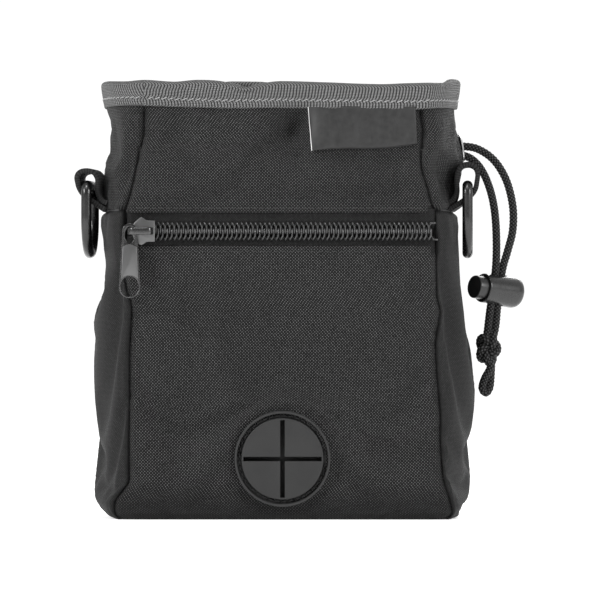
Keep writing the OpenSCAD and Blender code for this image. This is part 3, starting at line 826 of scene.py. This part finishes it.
def close_at_ends(low, high, length):
    """Values from low to high over a length of cloth, packed closer together near its two ends."""
    near = np.array([0, 0.25, 0.5, 0.8, 1.15, 1.6, 2.2]) / length
    count = max(2, round((1 - 2 * 3.2 / length) * length / CLOTH_STEP))
    middle = np.linspace(3.2 / length, 1 - 3.2 / length, count)
    return low + (high - low) * np.concatenate([near, middle, 1 - near[::-1]])


def panel_points(s_range, z_range, edges):
    """A grid on the shell. Edges marked as sewn (left, right, bottom, top) sink into their seams."""
    across = walk(shell(np.linspace(*s_range, 60), np.full(60, sum(z_range) / 2)))[-1]
    s, z = np.meshgrid(close_at_ends(*s_range, across), close_at_ends(*z_range, z_range[1] - z_range[0]))
    flat = shell(s, z)
    across, up = lengths(flat, 1), lengths(flat, 0)
    gaps = (across, across[:, -1:] - across, up, up[-1:] - up)
    sunk = sum(GROOVE * np.exp(-(gap / SEAM_W) ** 1.3) + 0.35 * np.exp(-((gap - 3.8) / 1.2) ** 2)
               for gap, sewn in zip(gaps, edges) if sewn) * np.clip((167 - z) / 3, 0, 1)
    turned = sum(0.35 * np.exp(-(gap / 0.4) ** 2) for gap, sewn in zip(gaps, edges) if not sewn)
    return shell(s, z, sunk + turned)


def panel(name, slot, material, s_range, z_range, edges=(True, True, False, False)):
    points = panel_points(s_range, z_range, edges)
    cloth = grid(name + "_cloth", points, cloth_uv(points), material, thick=1)
    return piece(cloth, "pouch", slot, name)


def open_hole(obj, middle, radius):
    """Takes out the cloth within a radius of a place on the front."""
    with editing(obj) as build:
        centres = [face.calc_center_median() / MM for face in build.faces]
        gone = [face for face, at in zip(build.faces, centres)
                if math.hypot(at.x - middle[0], at.z - middle[2]) < radius]
        bmesh.ops.delete(build, geom=gone, context="FACES")


def make_panels():
    panel("front_upper_panel", "woven_shell", SHELL, (0, 1), (122.9, PANEL_TOP))
    gussets = (("left", (3, 4)), ("right", (1, 2)))
    for side, s_range in gussets:
        panel(side + "_upper_gusset", "woven_shell", SHELL, s_range, (123.9, PANEL_TOP),
              edges=(True, True, True, False))
    for side, s_range in gussets:
        panel(side + "_lower_gusset", "lower_gusset", GUSSET, s_range, (0, 124.1),
              edges=(True, True, False, True))
    panel("back_panel", "woven_shell", SHELL, (2, 3), (0, PANEL_TOP))
    pocket = panel("front_pocket_panel", "woven_shell", SHELL, (0, 1), (0, 109.6))
    open_hole(pocket, DISPENSER_AT, 17.2)
    topstitching("upper_panel_stitches", (0.02, 0.98), 124.7)
    topstitching("pocket_stitches", (0.02, 0.98), 107.4)


# ---------- Mouth ----------

# Height of the binding's top edge and of its lower edge, against the distance round from the middle of the
# front
mouth_top = curve_through([
    (-BACK, 176.4), (-186, 177.4), (-174, 177.5), (-160, 176), (-125, 176.2), (-90, 176.3),
    (-72, 175.7), (-61, 176.1), (-48, 175.4), (-38, 176.1), (-29, 175.8), (-21, 174.6), (-16, 173.6),
    (-11, 174.4), (0, 175.6), (20, 175.1), (45, 174.4), (56, 174.8), (66, 175), (77, 175.2),
    (84, 176.8), (95, 177.4), (108, 177.2), (118, 176.2), (130, 175.8), (150, 175.2), (BACK, 176.4)])
mouth_low = curve_through([
    (-BACK, 165), (-125, 165.6), (-72, 165.9), (-40, 165), (-20, 164.6), (0, 164.9), (30, 164.5),
    (58, 164.2), (75, 165), (125, 165.4), (BACK, 165)])


def around(s):
    """Distance round the bag from the middle of the front, negative to the left."""
    s = np.mod(s, 4.0)
    back_start = FRONT_L + GUSSET_L
    left_start = back_start + BACK_L
    total = np.where(s < 1, s * FRONT_L,
                     np.where(s < 2, FRONT_L + (s - 1) * GUSSET_L,
                              np.where(s < 3, back_start + (s - 2) * BACK_L,
                                       left_start + (s - 3) * GUSSET_L))) - FRONT_L / 2
    return np.where(total > BACK, total - 2 * BACK, total)


def make_binding():
    """A grosgrain strip folded over the mouth and stitched through."""
    s = np.linspace(0, 4, 420, endpoint=False)
    s = np.append(s, 4.0)
    turn = np.linspace(math.pi, 0, 9)
    outer = [(-0.1, 0, 0), (-0.6, 0, 0), (-0.95, 0.5, 0), (-1, 2.2, 0), (-0.75, 3.2, 0), (-1.05, 4.4, 0),
             (-1.15, 6.5, 0)]
    top = [(0.9 + 2 * math.cos(a), -2 + 2 * math.sin(a), 1) for a in turn]
    inner = [(2.9, 6, 0), (2.85, 0, 0)]
    rows = outer + top + inner
    low, high = mouth_low(around(s)), mouth_top(around(s))
    ruffle = 0.25 * np.sin(around(s) / 4.1) + 0.2 * np.sin(around(s) / 2.3 + 1)
    points = np.stack([shell(s, (high if from_top else low) + z, inset + ruffle)
                       for inset, z, from_top in rows])
    points[-1] = shell(s, low + 0.2, 2.9)
    uv = cloth_uv(points)
    band = grid("top_binding_tape", points[:, :-1], uv, BINDING, wrap=True)
    piece(band, "pouch", "binding", "top_binding")
    row = evenly(shell(s, low + 3.2, -0.85 + ruffle), 2.7)
    stitch_line("binding_stitches", row, 2.1, 0.42, GREY_THREAD, "binding", 0.45)


def stitch_line(name, path, length, width, material, slot, slant=0.0):
    """One short thread lying along the path at each of its points. slant lifts each thread's leading end."""
    ahead = unit(np.gradient(path, axis=0))
    step = np.linspace(-1, 1, 7)[:, None]
    threads = []
    for i, (middle, t) in enumerate(zip(path[1:-1], ahead[1:-1])):
        out = np.array([0, np.sign(middle[1]), 0] if abs(t[1]) < 0.5 else [np.sign(middle[0]), 0, 0])
        across = np.cross(out, t) * slant
        arch = 0.45 * width * (1 - 2 * step ** 2)
        line = middle + (t * length / 2 + across) * step + out * arch
        threads.append(sweep(f"{name}.{i}", line, circle(width / 2, 6), material))
    return piece(join(name, threads), "pouch", slot)


def topstitching(name, s_range, height, inset=0.12):
    """A row of black stitches along a panel's edge, pulled a little into the cloth."""
    s = np.linspace(*s_range, 200)
    path = evenly(shell(s, height + np.zeros_like(s), inset), 2.9)
    stitch_line(name, path, 2, 0.55, BLACK_THREAD, "woven_shell")


def make_lining():
    """A thin loose bag inside the shell, which stands off it where the drawcord runs."""
    stand_off = curve_through([
        (0, 2.8), (125, 2.8), (137, 2.9), (142, 6.3), (154, 6.3), (159, 2.8), (163, 2), (175, 1.9)])
    pocket = curve_through([(0, 5.3), (12, 9.3), (105, 9.3), (118, 8.3), (127, 3.7), (140, -3)])
    s, z = np.meshgrid(np.linspace(0, 4, 260), np.linspace(2.4, 172.5, 110))
    crumple = 0.5 * np.sin(around(s) / 7 + z / 19) * np.sin(z / 9 - around(s) / 23)
    loose = np.abs(crumple) * np.clip((162 - z) / 6, 0, 1)
    behind_seams = 2.4 * np.exp(-((s - np.round(s)) * 60 / 5) ** 2) * np.clip((167 - z) / 3, 0, 1)
    points = shell(s, z, stand_off(z) + loose + behind_seams)
    behind_pocket = -(HALF_D - FOOT_FRONT * foot(z) ** 2) + pocket(z) + 0.6 * crumple
    points[..., 1] = np.maximum(points[..., 1], behind_pocket)
    floor = points[0] * np.linspace(0, 1, 12)[:, None, None] ** 0.8
    floor[..., 2] = 2.4 + 0.5 * np.sin(floor[..., 0] / 13) * np.cos(floor[..., 1] / 8)
    points = np.concatenate([floor[:-1], points])
    piece(grid("lining_bag", points, cloth_uv(points), LINING, thick=-0.5), "pouch", "lining", "lining")


def make_divider():
    """The lining fabric at the back of the pocket."""
    pocket = curve_through([(0, 4.3), (12, 8.3), (105, 8.3), (118, 7.3), (127, 2.7)])
    u, z = np.meshgrid(np.linspace(-1, 1, 60), np.linspace(1.6, 125.8, 60))
    y = -(HALF_D - FOOT_FRONT * foot(z) ** 2) + pocket(z) + 0.3 * np.sin(u * 9 + z / 14)
    reach = np.clip((WIDEST_Y - y) / (WIDEST_Y + HALF_D - FABRIC), 0, 1)
    x = u * (58 + 7 * np.sqrt(1 - reach ** 2))
    points = np.stack([x, y, z], 2)
    piece(grid("pocket_divider_cloth", points, cloth_uv(points), LINING, thick=0.5),
          "pouch", "lining", "pocket_divider")


def make_base():
    s = np.linspace(0, 4, 220)
    edge = shell(s, np.full_like(s, 0.4), 0.9)
    inward = np.linspace(0.02, 1, 14)[:, None, None]
    points = edge * inward
    points[..., 2] = (0.5 - 0.35 * (1 - inward[..., 0])
                      + 0.2 * np.sin(points[..., 0] / 12) * np.sin(points[..., 1] / 7))
    piece(grid("base_panel_cloth", points, cloth_uv(points), GUSSET, thick=1),
          "pouch", "lower_gusset", "base_panel")


# ---------- Label ----------

def front_s(x, z):
    """The turn of a place on the front, from its distance to the right of the middle plane."""
    middle = (right_seam(z) - left_seam(z)) / 2
    half = (right_seam(z) + left_seam(z)) / 2
    return ((x - middle) / half + 1) / 2


def make_label():
    """A blank folded tab whose top is caught under the binding. Its free end stands off the cloth."""
    u, v = np.meshgrid(np.linspace(0, 1, 50), np.linspace(0, 1, 26))
    x = 12.3 - 1.6 * v + u * (41.9 + 1.2 * v)
    low = 148 + 2.2 * u ** 1.5 + 0.35 * np.sin(u * 7)
    z = low + v * (165.4 - low)
    free = np.sin((1 - v) * 1.4) * (1.7 - 1.3 * u) + 0.25 * np.sin(u * 8 + 1) * (1 - v)
    fold = 0.5 * np.exp(-v / 0.03)
    points = shell(front_s(x, z), z, -0.85 - free + fold)
    uv = np.stack([x - x.min(1, keepdims=True), z], 2)
    tab = piece(grid("side_label_tab", points, uv, LABEL, thick=0.7), "pouch", "label", "side_label")


# ---------- Zip ----------

ZIP_Z = 115.5
TOOTH = 1.85
TOOTH_START = -53.8
TEETH = 62
HINGE_X = -60.4
SLIDER_X = -61.2
SLIDER_L = 10.8


def on_zip(points):
    """Places beside the zip: along it, across it upward, and forward of the front."""
    p = np.asarray(points, float)
    return np.stack([p[..., 0], -HALF_D - p[..., 2], ZIP_Z + p[..., 1]], -1)


def beside_zip(x, height):
    """The function that places a flat plate's points in front of the zip."""
    return lambda points: on_zip(points + (x, 0, height))


def zip_side(name, side, start):
    """One half of the chain: flattened turns of thick filament, which cross to the next turn at the tape's
    edge and are swollen where they meet the other half."""
    a = np.linspace(0, 2 * math.pi * TEETH, TEETH * 24)
    turn, tooth = np.mod(a, 2 * math.pi), np.floor(a / (2 * math.pi))
    from_edge = np.minimum(turn, 2 * math.pi - turn)
    cross = 0.5 * np.cos(np.clip(from_edge / 1.5, 0, 1) * math.pi / 2) ** 1.5
    x = start + TOOTH * (tooth + np.where(turn < math.pi, -cross, cross))
    y = side * (1.3 + 2.05 * np.cos(a))
    z = -0.1 + 0.8 * np.sin(a)
    radius = 0.37 + 0.16 * (0.5 - 0.5 * np.cos(a)) ** 8
    return sweep(name, on_zip(np.stack([x, y, z], 1)), radius[:, None, None] * circle(1, 8), COIL, (0, 0, 1))


def make_zip():
    for side, name, shift in ((1, "upper", 0.0), (-1, "lower", TOOTH / 2)):
        across, x = np.meshgrid(np.linspace(-61.4, 61.4, 120), np.linspace(1.9, 9, 10)[::side])
        points = on_zip(np.stack([across, side * x, np.full_like(x, -1.3)], 2))
        tape = grid(f"zipper_tape_{name}_cloth", points, cloth_uv(points), TAPE, thick=0.6)
        piece(tape, "pouch", "zip_tape", f"zipper_tape_{name}")
        coil = zip_side(f"zipper_coil_{name}", side, TOOTH_START + shift)
        piece(coil, "pouch", "zip_coil", f"zipper_teeth_{name}")


def make_slider():
    half = np.array([(0, 1), (0.3, 1.3), (2, 1.5), (2.5, 3.3), (4.8, 5.4), (5.4, 5.6), (6.2, 5.2), (7.3, 4.4),
                     (8.3, 4.25), (SLIDER_L, 4.2)])
    outline = np.concatenate([half, half[::-1] * (1, -1)])
    top = plate("slider_top", [outline], 1.4, 0.3, beside_zip(SLIDER_X, 2.4), ZIP_METAL)
    under = plate("slider_under", [outline * (0.97, 0.95)], 1.2, 0.3, beside_zip(SLIDER_X, -2.9), ZIP_METAL)
    # This path is parallel to the sweep's start direction, so the neck has no width
    neck = sweep("slider_neck", on_zip([(SLIDER_X + 3.4, 0, -2.8), (SLIDER_X + 3.4, 0, 2)]),
                 circle(1.1, 16), ZIP_METAL)
    flanges = [
        plate(f"slider_flange.{side}",
              [[(5.6, side * 3.85), (10.6, side * 3.85), (10.6, side * 4.2), (5.6, side * 4.2)]],
              2, 0.1, beside_zip(SLIDER_X, 0.9), ZIP_METAL)
        for side in (-1, 1)]
    turn = np.linspace(0, 2 * math.pi, 20, endpoint=False)
    section = np.stack([1.4 * np.sign(np.cos(turn)) * np.abs(np.cos(turn)) ** 0.45,
                        0.55 * np.sign(np.sin(turn)) * np.abs(np.sin(turn)) ** 0.6], 1)
    arch = spline([(0.9, 0, 2.6), (0.75, 0, 4.6), (1.1, 0, 6), (2.2, 0, 6.75), (5.2, 0, 6.9), (8.1, 0, 6.7),
                   (9.2, 0, 5.9), (9.6, 0, 4.6), (9.6, 0, 2.6)], 5)
    bail = sweep("slider_bail", on_zip(arch + (SLIDER_X, 0, 0)), section, BAIL_METAL, (0, 0, 1))
    body = join("zipper_slider_body", [top, under, neck] + flanges)
    piece(body, "zip_slider", "zip_metal", "zipper_slider")
    piece(bail, "zip_slider", "zip_metal")


def arc(middle, radius, start, end, steps=18):
    turn = np.radians(np.linspace(start, end, steps))
    return np.array(middle) + radius * np.stack([np.cos(turn), np.sin(turn)], 1)


def oval(middle, half_w, half_h, point=2.0, steps=40):
    turn = np.linspace(0, 2 * math.pi, steps, endpoint=False)
    x, y = np.cos(turn), np.sin(turn)
    return np.stack([middle[0] + half_w * np.sign(x) * np.abs(x) ** (2 / point), middle[1] + half_h * y], 1)


def make_pull():
    """A flat tab with a ring at its top, a round hole at its end and a raised face between them."""
    outer = np.concatenate([arc((0, 0.1), 2.95, 180, 0), arc((0, -22.5), 4.25, 360, 180, 30)])
    ring_hole = oval((0, -1.6), 1.9, 3.4, 1.7)
    end_hole = oval((0, -22.1), 3.65, 4.15)
    face = np.concatenate([
        arc((0, -9.4), 4.1, 133, 47, 10), [(3.35, -18.6)],
        arc((0, -22.1), 4.55, 37, 143, 12), [(-3.35, -18.6)]])
    base = plate("zipper_pull_tab", [outer, ring_hole, end_hole], 0.8, 0.22,
                 beside_zip(HINGE_X, 4.75), BAIL_METAL)
    top = plate("zipper_pull_face", [face], 0.6, 0.18, beside_zip(HINGE_X, 5.25), ZIP_METAL)
    piece(base, "zip_pull", "zip_metal", "zipper_pull")
    piece(top, "zip_pull", "zip_metal")


# ---------- Bag dispenser ----------

DISPENSER_LEAN = math.radians(5.7)
SLIT_W = 1.84
STITCH_RING = 17.25


def make_dispenser():
    """A rubber rosette whose middle is cut into four flaps, stitched round its groove."""
    out = np.array([0, -math.cos(DISPENSER_LEAN), -math.sin(DISPENSER_LEAN)])
    up = np.array([0, -math.sin(DISPENSER_LEAN), math.cos(DISPENSER_LEAN)])
    right = np.array([1.0, 0, 0])
    profile = rounded([(0, -1.6), (19.2, -1.6), (19.2, 1.5), (18.3, 1.5), (18.2, -0.9), (16.5, -0.9),
                       (16.4, 1.1), (15.6, 1.2), (0, 1.2)], 0.35)
    rosette = lathe("bag_dispenser_rubber", profile, DISPENSER_AT, out, RUBBER, 128)
    cutters = []
    for wide, high in ((15.65, SLIT_W / 2), (SLIT_W / 2, 15.65)):
        box = np.array([(x, y, z) for x in (-wide, wide) for y in (-high, high) for z in (-5, 5)])
        faces = [(0, 1, 3, 2), (4, 6, 7, 5), (0, 4, 5, 1), (2, 3, 7, 6), (0, 2, 6, 4), (1, 5, 7, 3)]
        cutters.append(add_mesh("slit", placed(box, DISPENSER_AT, right, up, out), faces, None, RUBBER))
    cut(rosette, cutters)
    piece(rosette, "pouch", "dispenser_rubber", "bag_dispenser")
    turn = np.linspace(0, 2 * math.pi, 42)
    flat = np.stack([STITCH_RING * np.cos(turn), STITCH_RING * np.sin(turn), np.full_like(turn, -0.4)], 1)
    ring = placed(flat, DISPENSER_AT, right, up, out)
    stitch_line("dispenser_stitches", ring, 2, 0.7, BLACK_THREAD, "dispenser_rubber")


# ---------- Side rings ----------

RING_AT = {-1: np.array([77.2, -4, 134]), 1: np.array([75.3, -4, 134])}
RING_YAW = {-1: math.radians(4), 1: math.radians(-1.6)}
SIDE_NAMES = {-1: "left", 1: "right"}
RING_HALF = 14.6
RING_CORNER = 3.4
RING_WIRE = 4.2
RING_ARC_Z = -12.5
LOOP_HEIGHT = {-1: 5, 1: 7.6}


def at_ring(points, side):
    """Places beside a ring's bar: outward, along the bar and up. side is 1 for the right ring."""
    p = np.asarray(points, float)
    c, d = math.cos(RING_YAW[side]), math.sin(RING_YAW[side])
    x = RING_AT[side][0] + p[..., 0] * c - p[..., 1] * d
    y = RING_AT[side][1] + p[..., 0] * d + p[..., 1] * c
    return np.stack([side * x, y, RING_AT[side][2] + p[..., 2]], -1)


def make_ring_loop(side):
    """A loop of webbing round the ring's bar. Its two ends lie together and go into the gusset's seam."""
    high = LOOP_HEIGHT[side]
    loop = spline([(-6.6, -8), (-4.9, -7), (-3.7, -5), (-3.2, -2), (-3.3, 0.13 * high), (-3.2, 0.53 * high),
                   (-2, 0.9 * high), (0.3, high), (2.3, 0.91 * high), (3.1, 0.66 * high), (2.8, 0.26 * high),
                   (2.3, -0.5), (1, -2.6), (-1.4, -4.8), (-4, -7), (-6.6, -8.8)], 5)
    width = np.linspace(-12.2, 12.2, 26)
    points = np.zeros((len(loop), len(width), 3))
    points[..., 0] = loop[:, :1]
    points[..., 1] = width
    points[..., 2] = loop[:, 1:]
    # the stalk bends in to meet the curved gusset
    stalk = np.clip((-3 - points[..., 2]) / 8, 0, 1) ** 1.2
    points[..., 0] -= stalk * np.clip((-width - 1) / 12, 0, 1) ** 1.5 * 2.4
    name = SIDE_NAMES[side] + "_ring_loop"
    webbing = grid(name + "_webbing", at_ring(points, side), cloth_uv(points)[..., ::-1].copy(), WEBBING,
                   thick=2 * side)
    return piece(webbing, "pouch", "webbing", name)


def make_ring(side):
    straight = RING_HALF - RING_CORNER
    corner = arc((straight, -RING_CORNER), RING_CORNER, 90, 0, 10)
    bow = arc((0, RING_ARC_Z), RING_HALF, 0, -180, 40)
    path = np.concatenate([[(0, 0)], [(straight / 2, 0)], corner, bow, corner[::-1] * (-1, 1),
                           [(-straight / 2, 0), (0, 0)]])
    path = evenly(np.column_stack([np.zeros(len(path)), path]), 0.8)
    name = SIDE_NAMES[side] + "_d_ring"
    ring = sweep(name + "_wire", at_ring(path, side), circle(RING_WIRE / 2, 20), RING_METAL, (1, 0, 0))
    return piece(ring, "d_ring_" + SIDE_NAMES[side], "ring_metal", name)


def make_rings():
    for side in (-1, 1):
        make_ring_loop(side)
        make_ring(side)


# ---------- Drawcord ----------

CORD_D = 3.2
CORD_ROUTE = [
    (70, 16, 150.4), (75, 16, 150.5), (80, 16, 149.5), (85.5, 16, 146), (89.6, 16, 140.8),
    (92.6, 16, 134), (94.4, 16.2, 125), (94.2, 16.5, 116), (92.2, 16.8, 108), (90.2, 17, 101),
    (88.8, 17, 92), (87.9, 16.9, 84), (87.3, 16.7, 77.5), (86.2, 17, 72), (85.7, 17.2, 67),
    (85.6, 17.5, 61.5), (85.3, 17.1, 56), (84.8, 16.6, 52.2), (83.3, 16, 50.2), (81.8, 15.4, 52.2),
    (82.8, 15.1, 56), (85.3, 14.4, 61.5), (83, 14.9, 67), (83.5, 15.1, 72), (84.2, 15.3, 77.5),
    (85, 15.1, 84), (86.2, 15, 92), (87.2, 15, 100), (87.6, 15.2, 108), (87.4, 15.5, 118),
    (86.6, 15.8, 126), (85, 16, 133), (82.4, 16, 139.5), (79, 16, 144.2), (75, 16, 146.6),
    (70, 16, 146.8)]
EYELET_AT = np.array([72.3, 16, 149.2])
EYELET_AXIS = np.array([math.sin(math.radians(82)) * math.cos(math.radians(6)),
                        math.sin(math.radians(82)) * math.sin(math.radians(6)), math.cos(math.radians(82))])
KNOT_AT = np.array([84.2, 16, 68.3])


def braided(name, path, diameter, spacing=0.24, sides=36):
    """A round cord whose strands cross over each other and stand a little proud."""
    path = evenly(path, spacing)
    count = 2 * round(math.pi * diameter / BRAID / 2)
    turn = np.linspace(0, count * math.pi, sides, endpoint=False)
    along = (walk(path) * math.pi / BRAID)[:, None]
    radius = diameter / 2 * (0.93 + 0.12 * np.abs(np.sin(turn + along) * np.sin(turn - along)))
    return sweep(name, path, radius[..., None] * circle(1, sides), CORD, around=count * BRAID)


def make_knot():
    """A tight round knot: the cord goes twice round and crosses over itself five times."""
    a = np.linspace(0, 2 * math.pi, 160)
    reach = 2.35 + 1.45 * np.cos(5 * a)
    x, y, z = reach * np.cos(2 * a), 1.9 * np.sin(5 * a), 1.62 * reach * np.sin(2 * a)
    knot = braided("cord_knot_turns", np.stack([x, y, z], 1) + KNOT_AT, 3.3)
    return piece(knot, "pouch", "cord", "cord_knot")


# ---------- Cord lock ----------

LOCK_AT = np.array([88.6, 16.9, 92])
TILT = math.radians(8)
YAW = math.radians(35)
ALONG_LOCK = np.array([math.cos(YAW) * math.cos(TILT), math.sin(YAW), -math.cos(YAW) * math.sin(TILT)])
ALONG_CORD = np.array([math.sin(TILT), 0, math.cos(TILT)])
ACROSS_LOCK = np.cross(ALONG_CORD, ALONG_LOCK)


def on_lock(points):
    return placed(points, LOCK_AT, ALONG_LOCK, ACROSS_LOCK, ALONG_CORD)


def cord_slot(middle, length, width=4.9):
    """A round-ended prism that runs through the lock where the strands do."""
    half = (length - width) / 2
    right = arc((middle + half, 0), width / 2, -90, 90, 12)
    left = arc((middle - half, 0), width / 2, 90, 270, 12)
    ring = np.concatenate([right, left])
    n = len(ring)
    points = np.concatenate([np.column_stack([ring, np.full(n, z)]) for z in (-12, 12)])
    sides = [[i, (i + 1) % n, n + (i + 1) % n, n + i] for i in range(n)]
    ends = [list(range(n))[::-1], list(range(n, 2 * n))]
    return add_mesh("slot", on_lock(points), sides + ends, None, LOCK_PLASTIC)


def make_lock():
    dome = [(6.5 * math.cos(t) ** 0.3, 6 + 3.6 * math.sin(t))
            for t in np.linspace(0, math.pi / 2 - 0.01, 24)]
    mouth = rounded([(5, -8), (5.1, -8.5), (5.8, -8.5), (5.95, -8), (6.05, -3), (6.3, 2), (6.5, 6)], 0.4)
    shell_profile = np.concatenate([[(0, 7.2), (4.9, 7.2)], mouth, dome[1:], [(0, 9.6)]])
    barrel = lathe("cord_lock_barrel_shell", shell_profile, LOCK_AT, ALONG_LOCK, LOCK_PLASTIC)
    cut(barrel, [cord_slot(-1.5, 8.2)])
    piece(barrel, "cord_lock", "lock_plastic", "cord_lock_barrel")
    dish = [(r, -12.5 - 0.2 * (r / 3.4) ** 2) for r in (0, 1.2, 2.4, 3.4)]
    side = rounded([(3.4, -12.7), (4.65, -12.7), (4.78, -8), (4.78, 3.4), (0, 3.4)], 0.5)
    button = lathe("cord_lock_button_plunger", np.concatenate([dish, side]),
                   LOCK_AT, ALONG_LOCK, BUTTON_PLASTIC)
    cut(button, [cord_slot(-2.8, 10.9)])
    piece(button, "lock_button", "button_plastic", "cord_lock_button")
    a = np.linspace(0, 2 * math.pi * 4, 130)
    coil = on_lock(np.stack([3.8 + 3.1 * a / a[-1], 3.3 * np.cos(a), 3.3 * np.sin(a)], 1))
    spring = piece(sweep("cord_lock_spring_coil", coil, circle(0.2, 8), SPRING_STEEL),
                   "cord_lock", "spring_steel", "cord_lock_spring")
    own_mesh(spring)
    return [barrel, button, spring]


def make_drawcord():
    route = spline(CORD_ROUTE, 8)
    cord = piece(braided("drawcord", route, CORD_D), "pouch", "cord", "drawcord_tail")
    knot = make_knot()
    lock = make_lock()
    s = np.linspace(1.76, 5.63, 200)
    ring = smooth_shell(s, np.linspace(150.4, 146.8, 200), 4.2)
    ends = [np.array([(69.9, 16, z), (68, 16, z)]) for z in (150.4, 146.8)]
    hidden = np.concatenate([ends[0], ring, ends[1][::-1]])
    piece(sweep("drawcord_in_channel", evenly(hidden, 1), circle(CORD_D / 2, 10), CORD),
          "pouch", "cord", "drawcord_loop")
    flange = rounded([(4.2, -2.3), (4.2, 0.7), (4.7, 1.5), (6, 1.4), (6.8, 0.5), (4.9, 0.4), (4.8, -1.8),
                      (5.1, -1.9), (5.1, -2.3), (4.2, -2.3)], 0.5)
    eyelet = lathe("drawcord_eyelet_ring", flange, EYELET_AT, EYELET_AXIS, NICKEL)
    piece(eyelet, "pouch", "eyelet_metal", "drawcord_eyelet")


# ---------- Belt clip ----------

CLIP_W = 24
CLIP_T = 1.2
CLIP_BEND = 4
CLIP_PLATE_Y = 31
CLIP_TOP_Z = 124


def make_clip():
    """A sprung strip, bent over at its top and turned out at its lip."""
    middle = CLIP_BEND + CLIP_T / 2
    over = arc((0, 0), middle, 180, 0, 20)
    leg = np.array([(middle, 0), (middle, -44)])
    lip = arc((middle + 8.6, -44), 8.6, 180, 230, 12)
    lean = math.radians(3)
    outer = np.concatenate([leg, lip]) - (CLIP_BEND, 0)
    leaned = np.array([(math.cos(lean), -math.sin(lean)), (math.sin(lean), math.cos(lean))])
    outer = outer @ leaned + (CLIP_BEND, 0)
    line = evenly(np.concatenate([[(-middle, -62)], over, outer]), 0.7)
    y = CLIP_PLATE_Y + CLIP_T + CLIP_BEND + line[:, 0]
    path = np.stack([np.zeros_like(y), y, CLIP_TOP_Z + line[:, 1]], 1)
    from_end = np.minimum(walk(path), walk(path)[-1] - walk(path))
    corner = 4 * (1 - np.sqrt(np.clip(1 - (1 - np.clip(from_end / 4, 0, 1)) ** 2, 0, 1)))
    half = CLIP_W / 2 - corner
    edge = rounded([(0, -0.6), (1, -0.6), (1, 0.6), (0, 0.6)], 0.35)[1:-1]
    edge = np.concatenate([edge, edge[::-1] * (-1, 1)])
    outline = np.stack([np.stack([np.sign(edge[:, 0]) * (h - 1 + np.abs(edge[:, 0])), edge[:, 1]], 1)
                        for h in half])
    clip = sweep("belt_clip_strip", path, outline, CLIP_METAL, (1, 0, 0))
    shade_by_angle(clip)
    piece(clip, "pouch", "clip_metal", "belt_clip")
    rivet = rounded([(0, -1.1), (2.2, -1), (3.9, -0.2), (4, 0), (1.8, 0.02), (1.8, 4), (3.4, 4.1),
                     (3.4, 4.6), (0, 4.9)], 0.5)
    heads = [lathe(f"rivet.{z}", rivet, (0, CLIP_PLATE_Y + CLIP_T + 0.1, z), (0, -1, 0), RIVET_METAL, 48)
             for z in (112, 70)]
    piece(join("clip_rivets_domed", heads), "pouch", "rivet_metal", "clip_rivets")


def make_clip_patch():
    s, z = np.meshgrid(np.linspace(2.37, 2.63, 40), np.linspace(58, 128, 60))
    edge = np.minimum.reduce([z - 58, 128 - z, (s - 2.37) * BACK_L, (2.63 - s) * BACK_L])
    points = smooth_shell(s, z, -1.1 + 0.7 * np.exp(-(edge / 0.6) ** 2))
    piece(grid("clip_patch_cloth", points, cloth_uv(points), SHELL, thick=1),
          "pouch", "woven_shell", "clip_patch")
    corners = [(2.385, 60), (2.615, 60), (2.615, 126), (2.385, 126), (2.385, 60)]
    sides = [np.linspace(a, b, 40, endpoint=False) for a, b in zip(corners, corners[1:])]
    line = np.concatenate(sides + [corners[-1:]])
    path = smooth_shell(line[:, 0], line[:, 1], -1.2)
    stitch_line("clip_patch_stitches", evenly(path, 2.9), 2.2, 0.4, BLACK_THREAD, "woven_shell")


make_camera()
make_lights()
make_stage()
make_drawcord()
make_panels()
make_base()
make_lining()
make_divider()
make_binding()
make_label()
make_zip()
make_slider()
make_pull()
make_dispenser()
make_rings()
make_clip()
make_clip_patch()
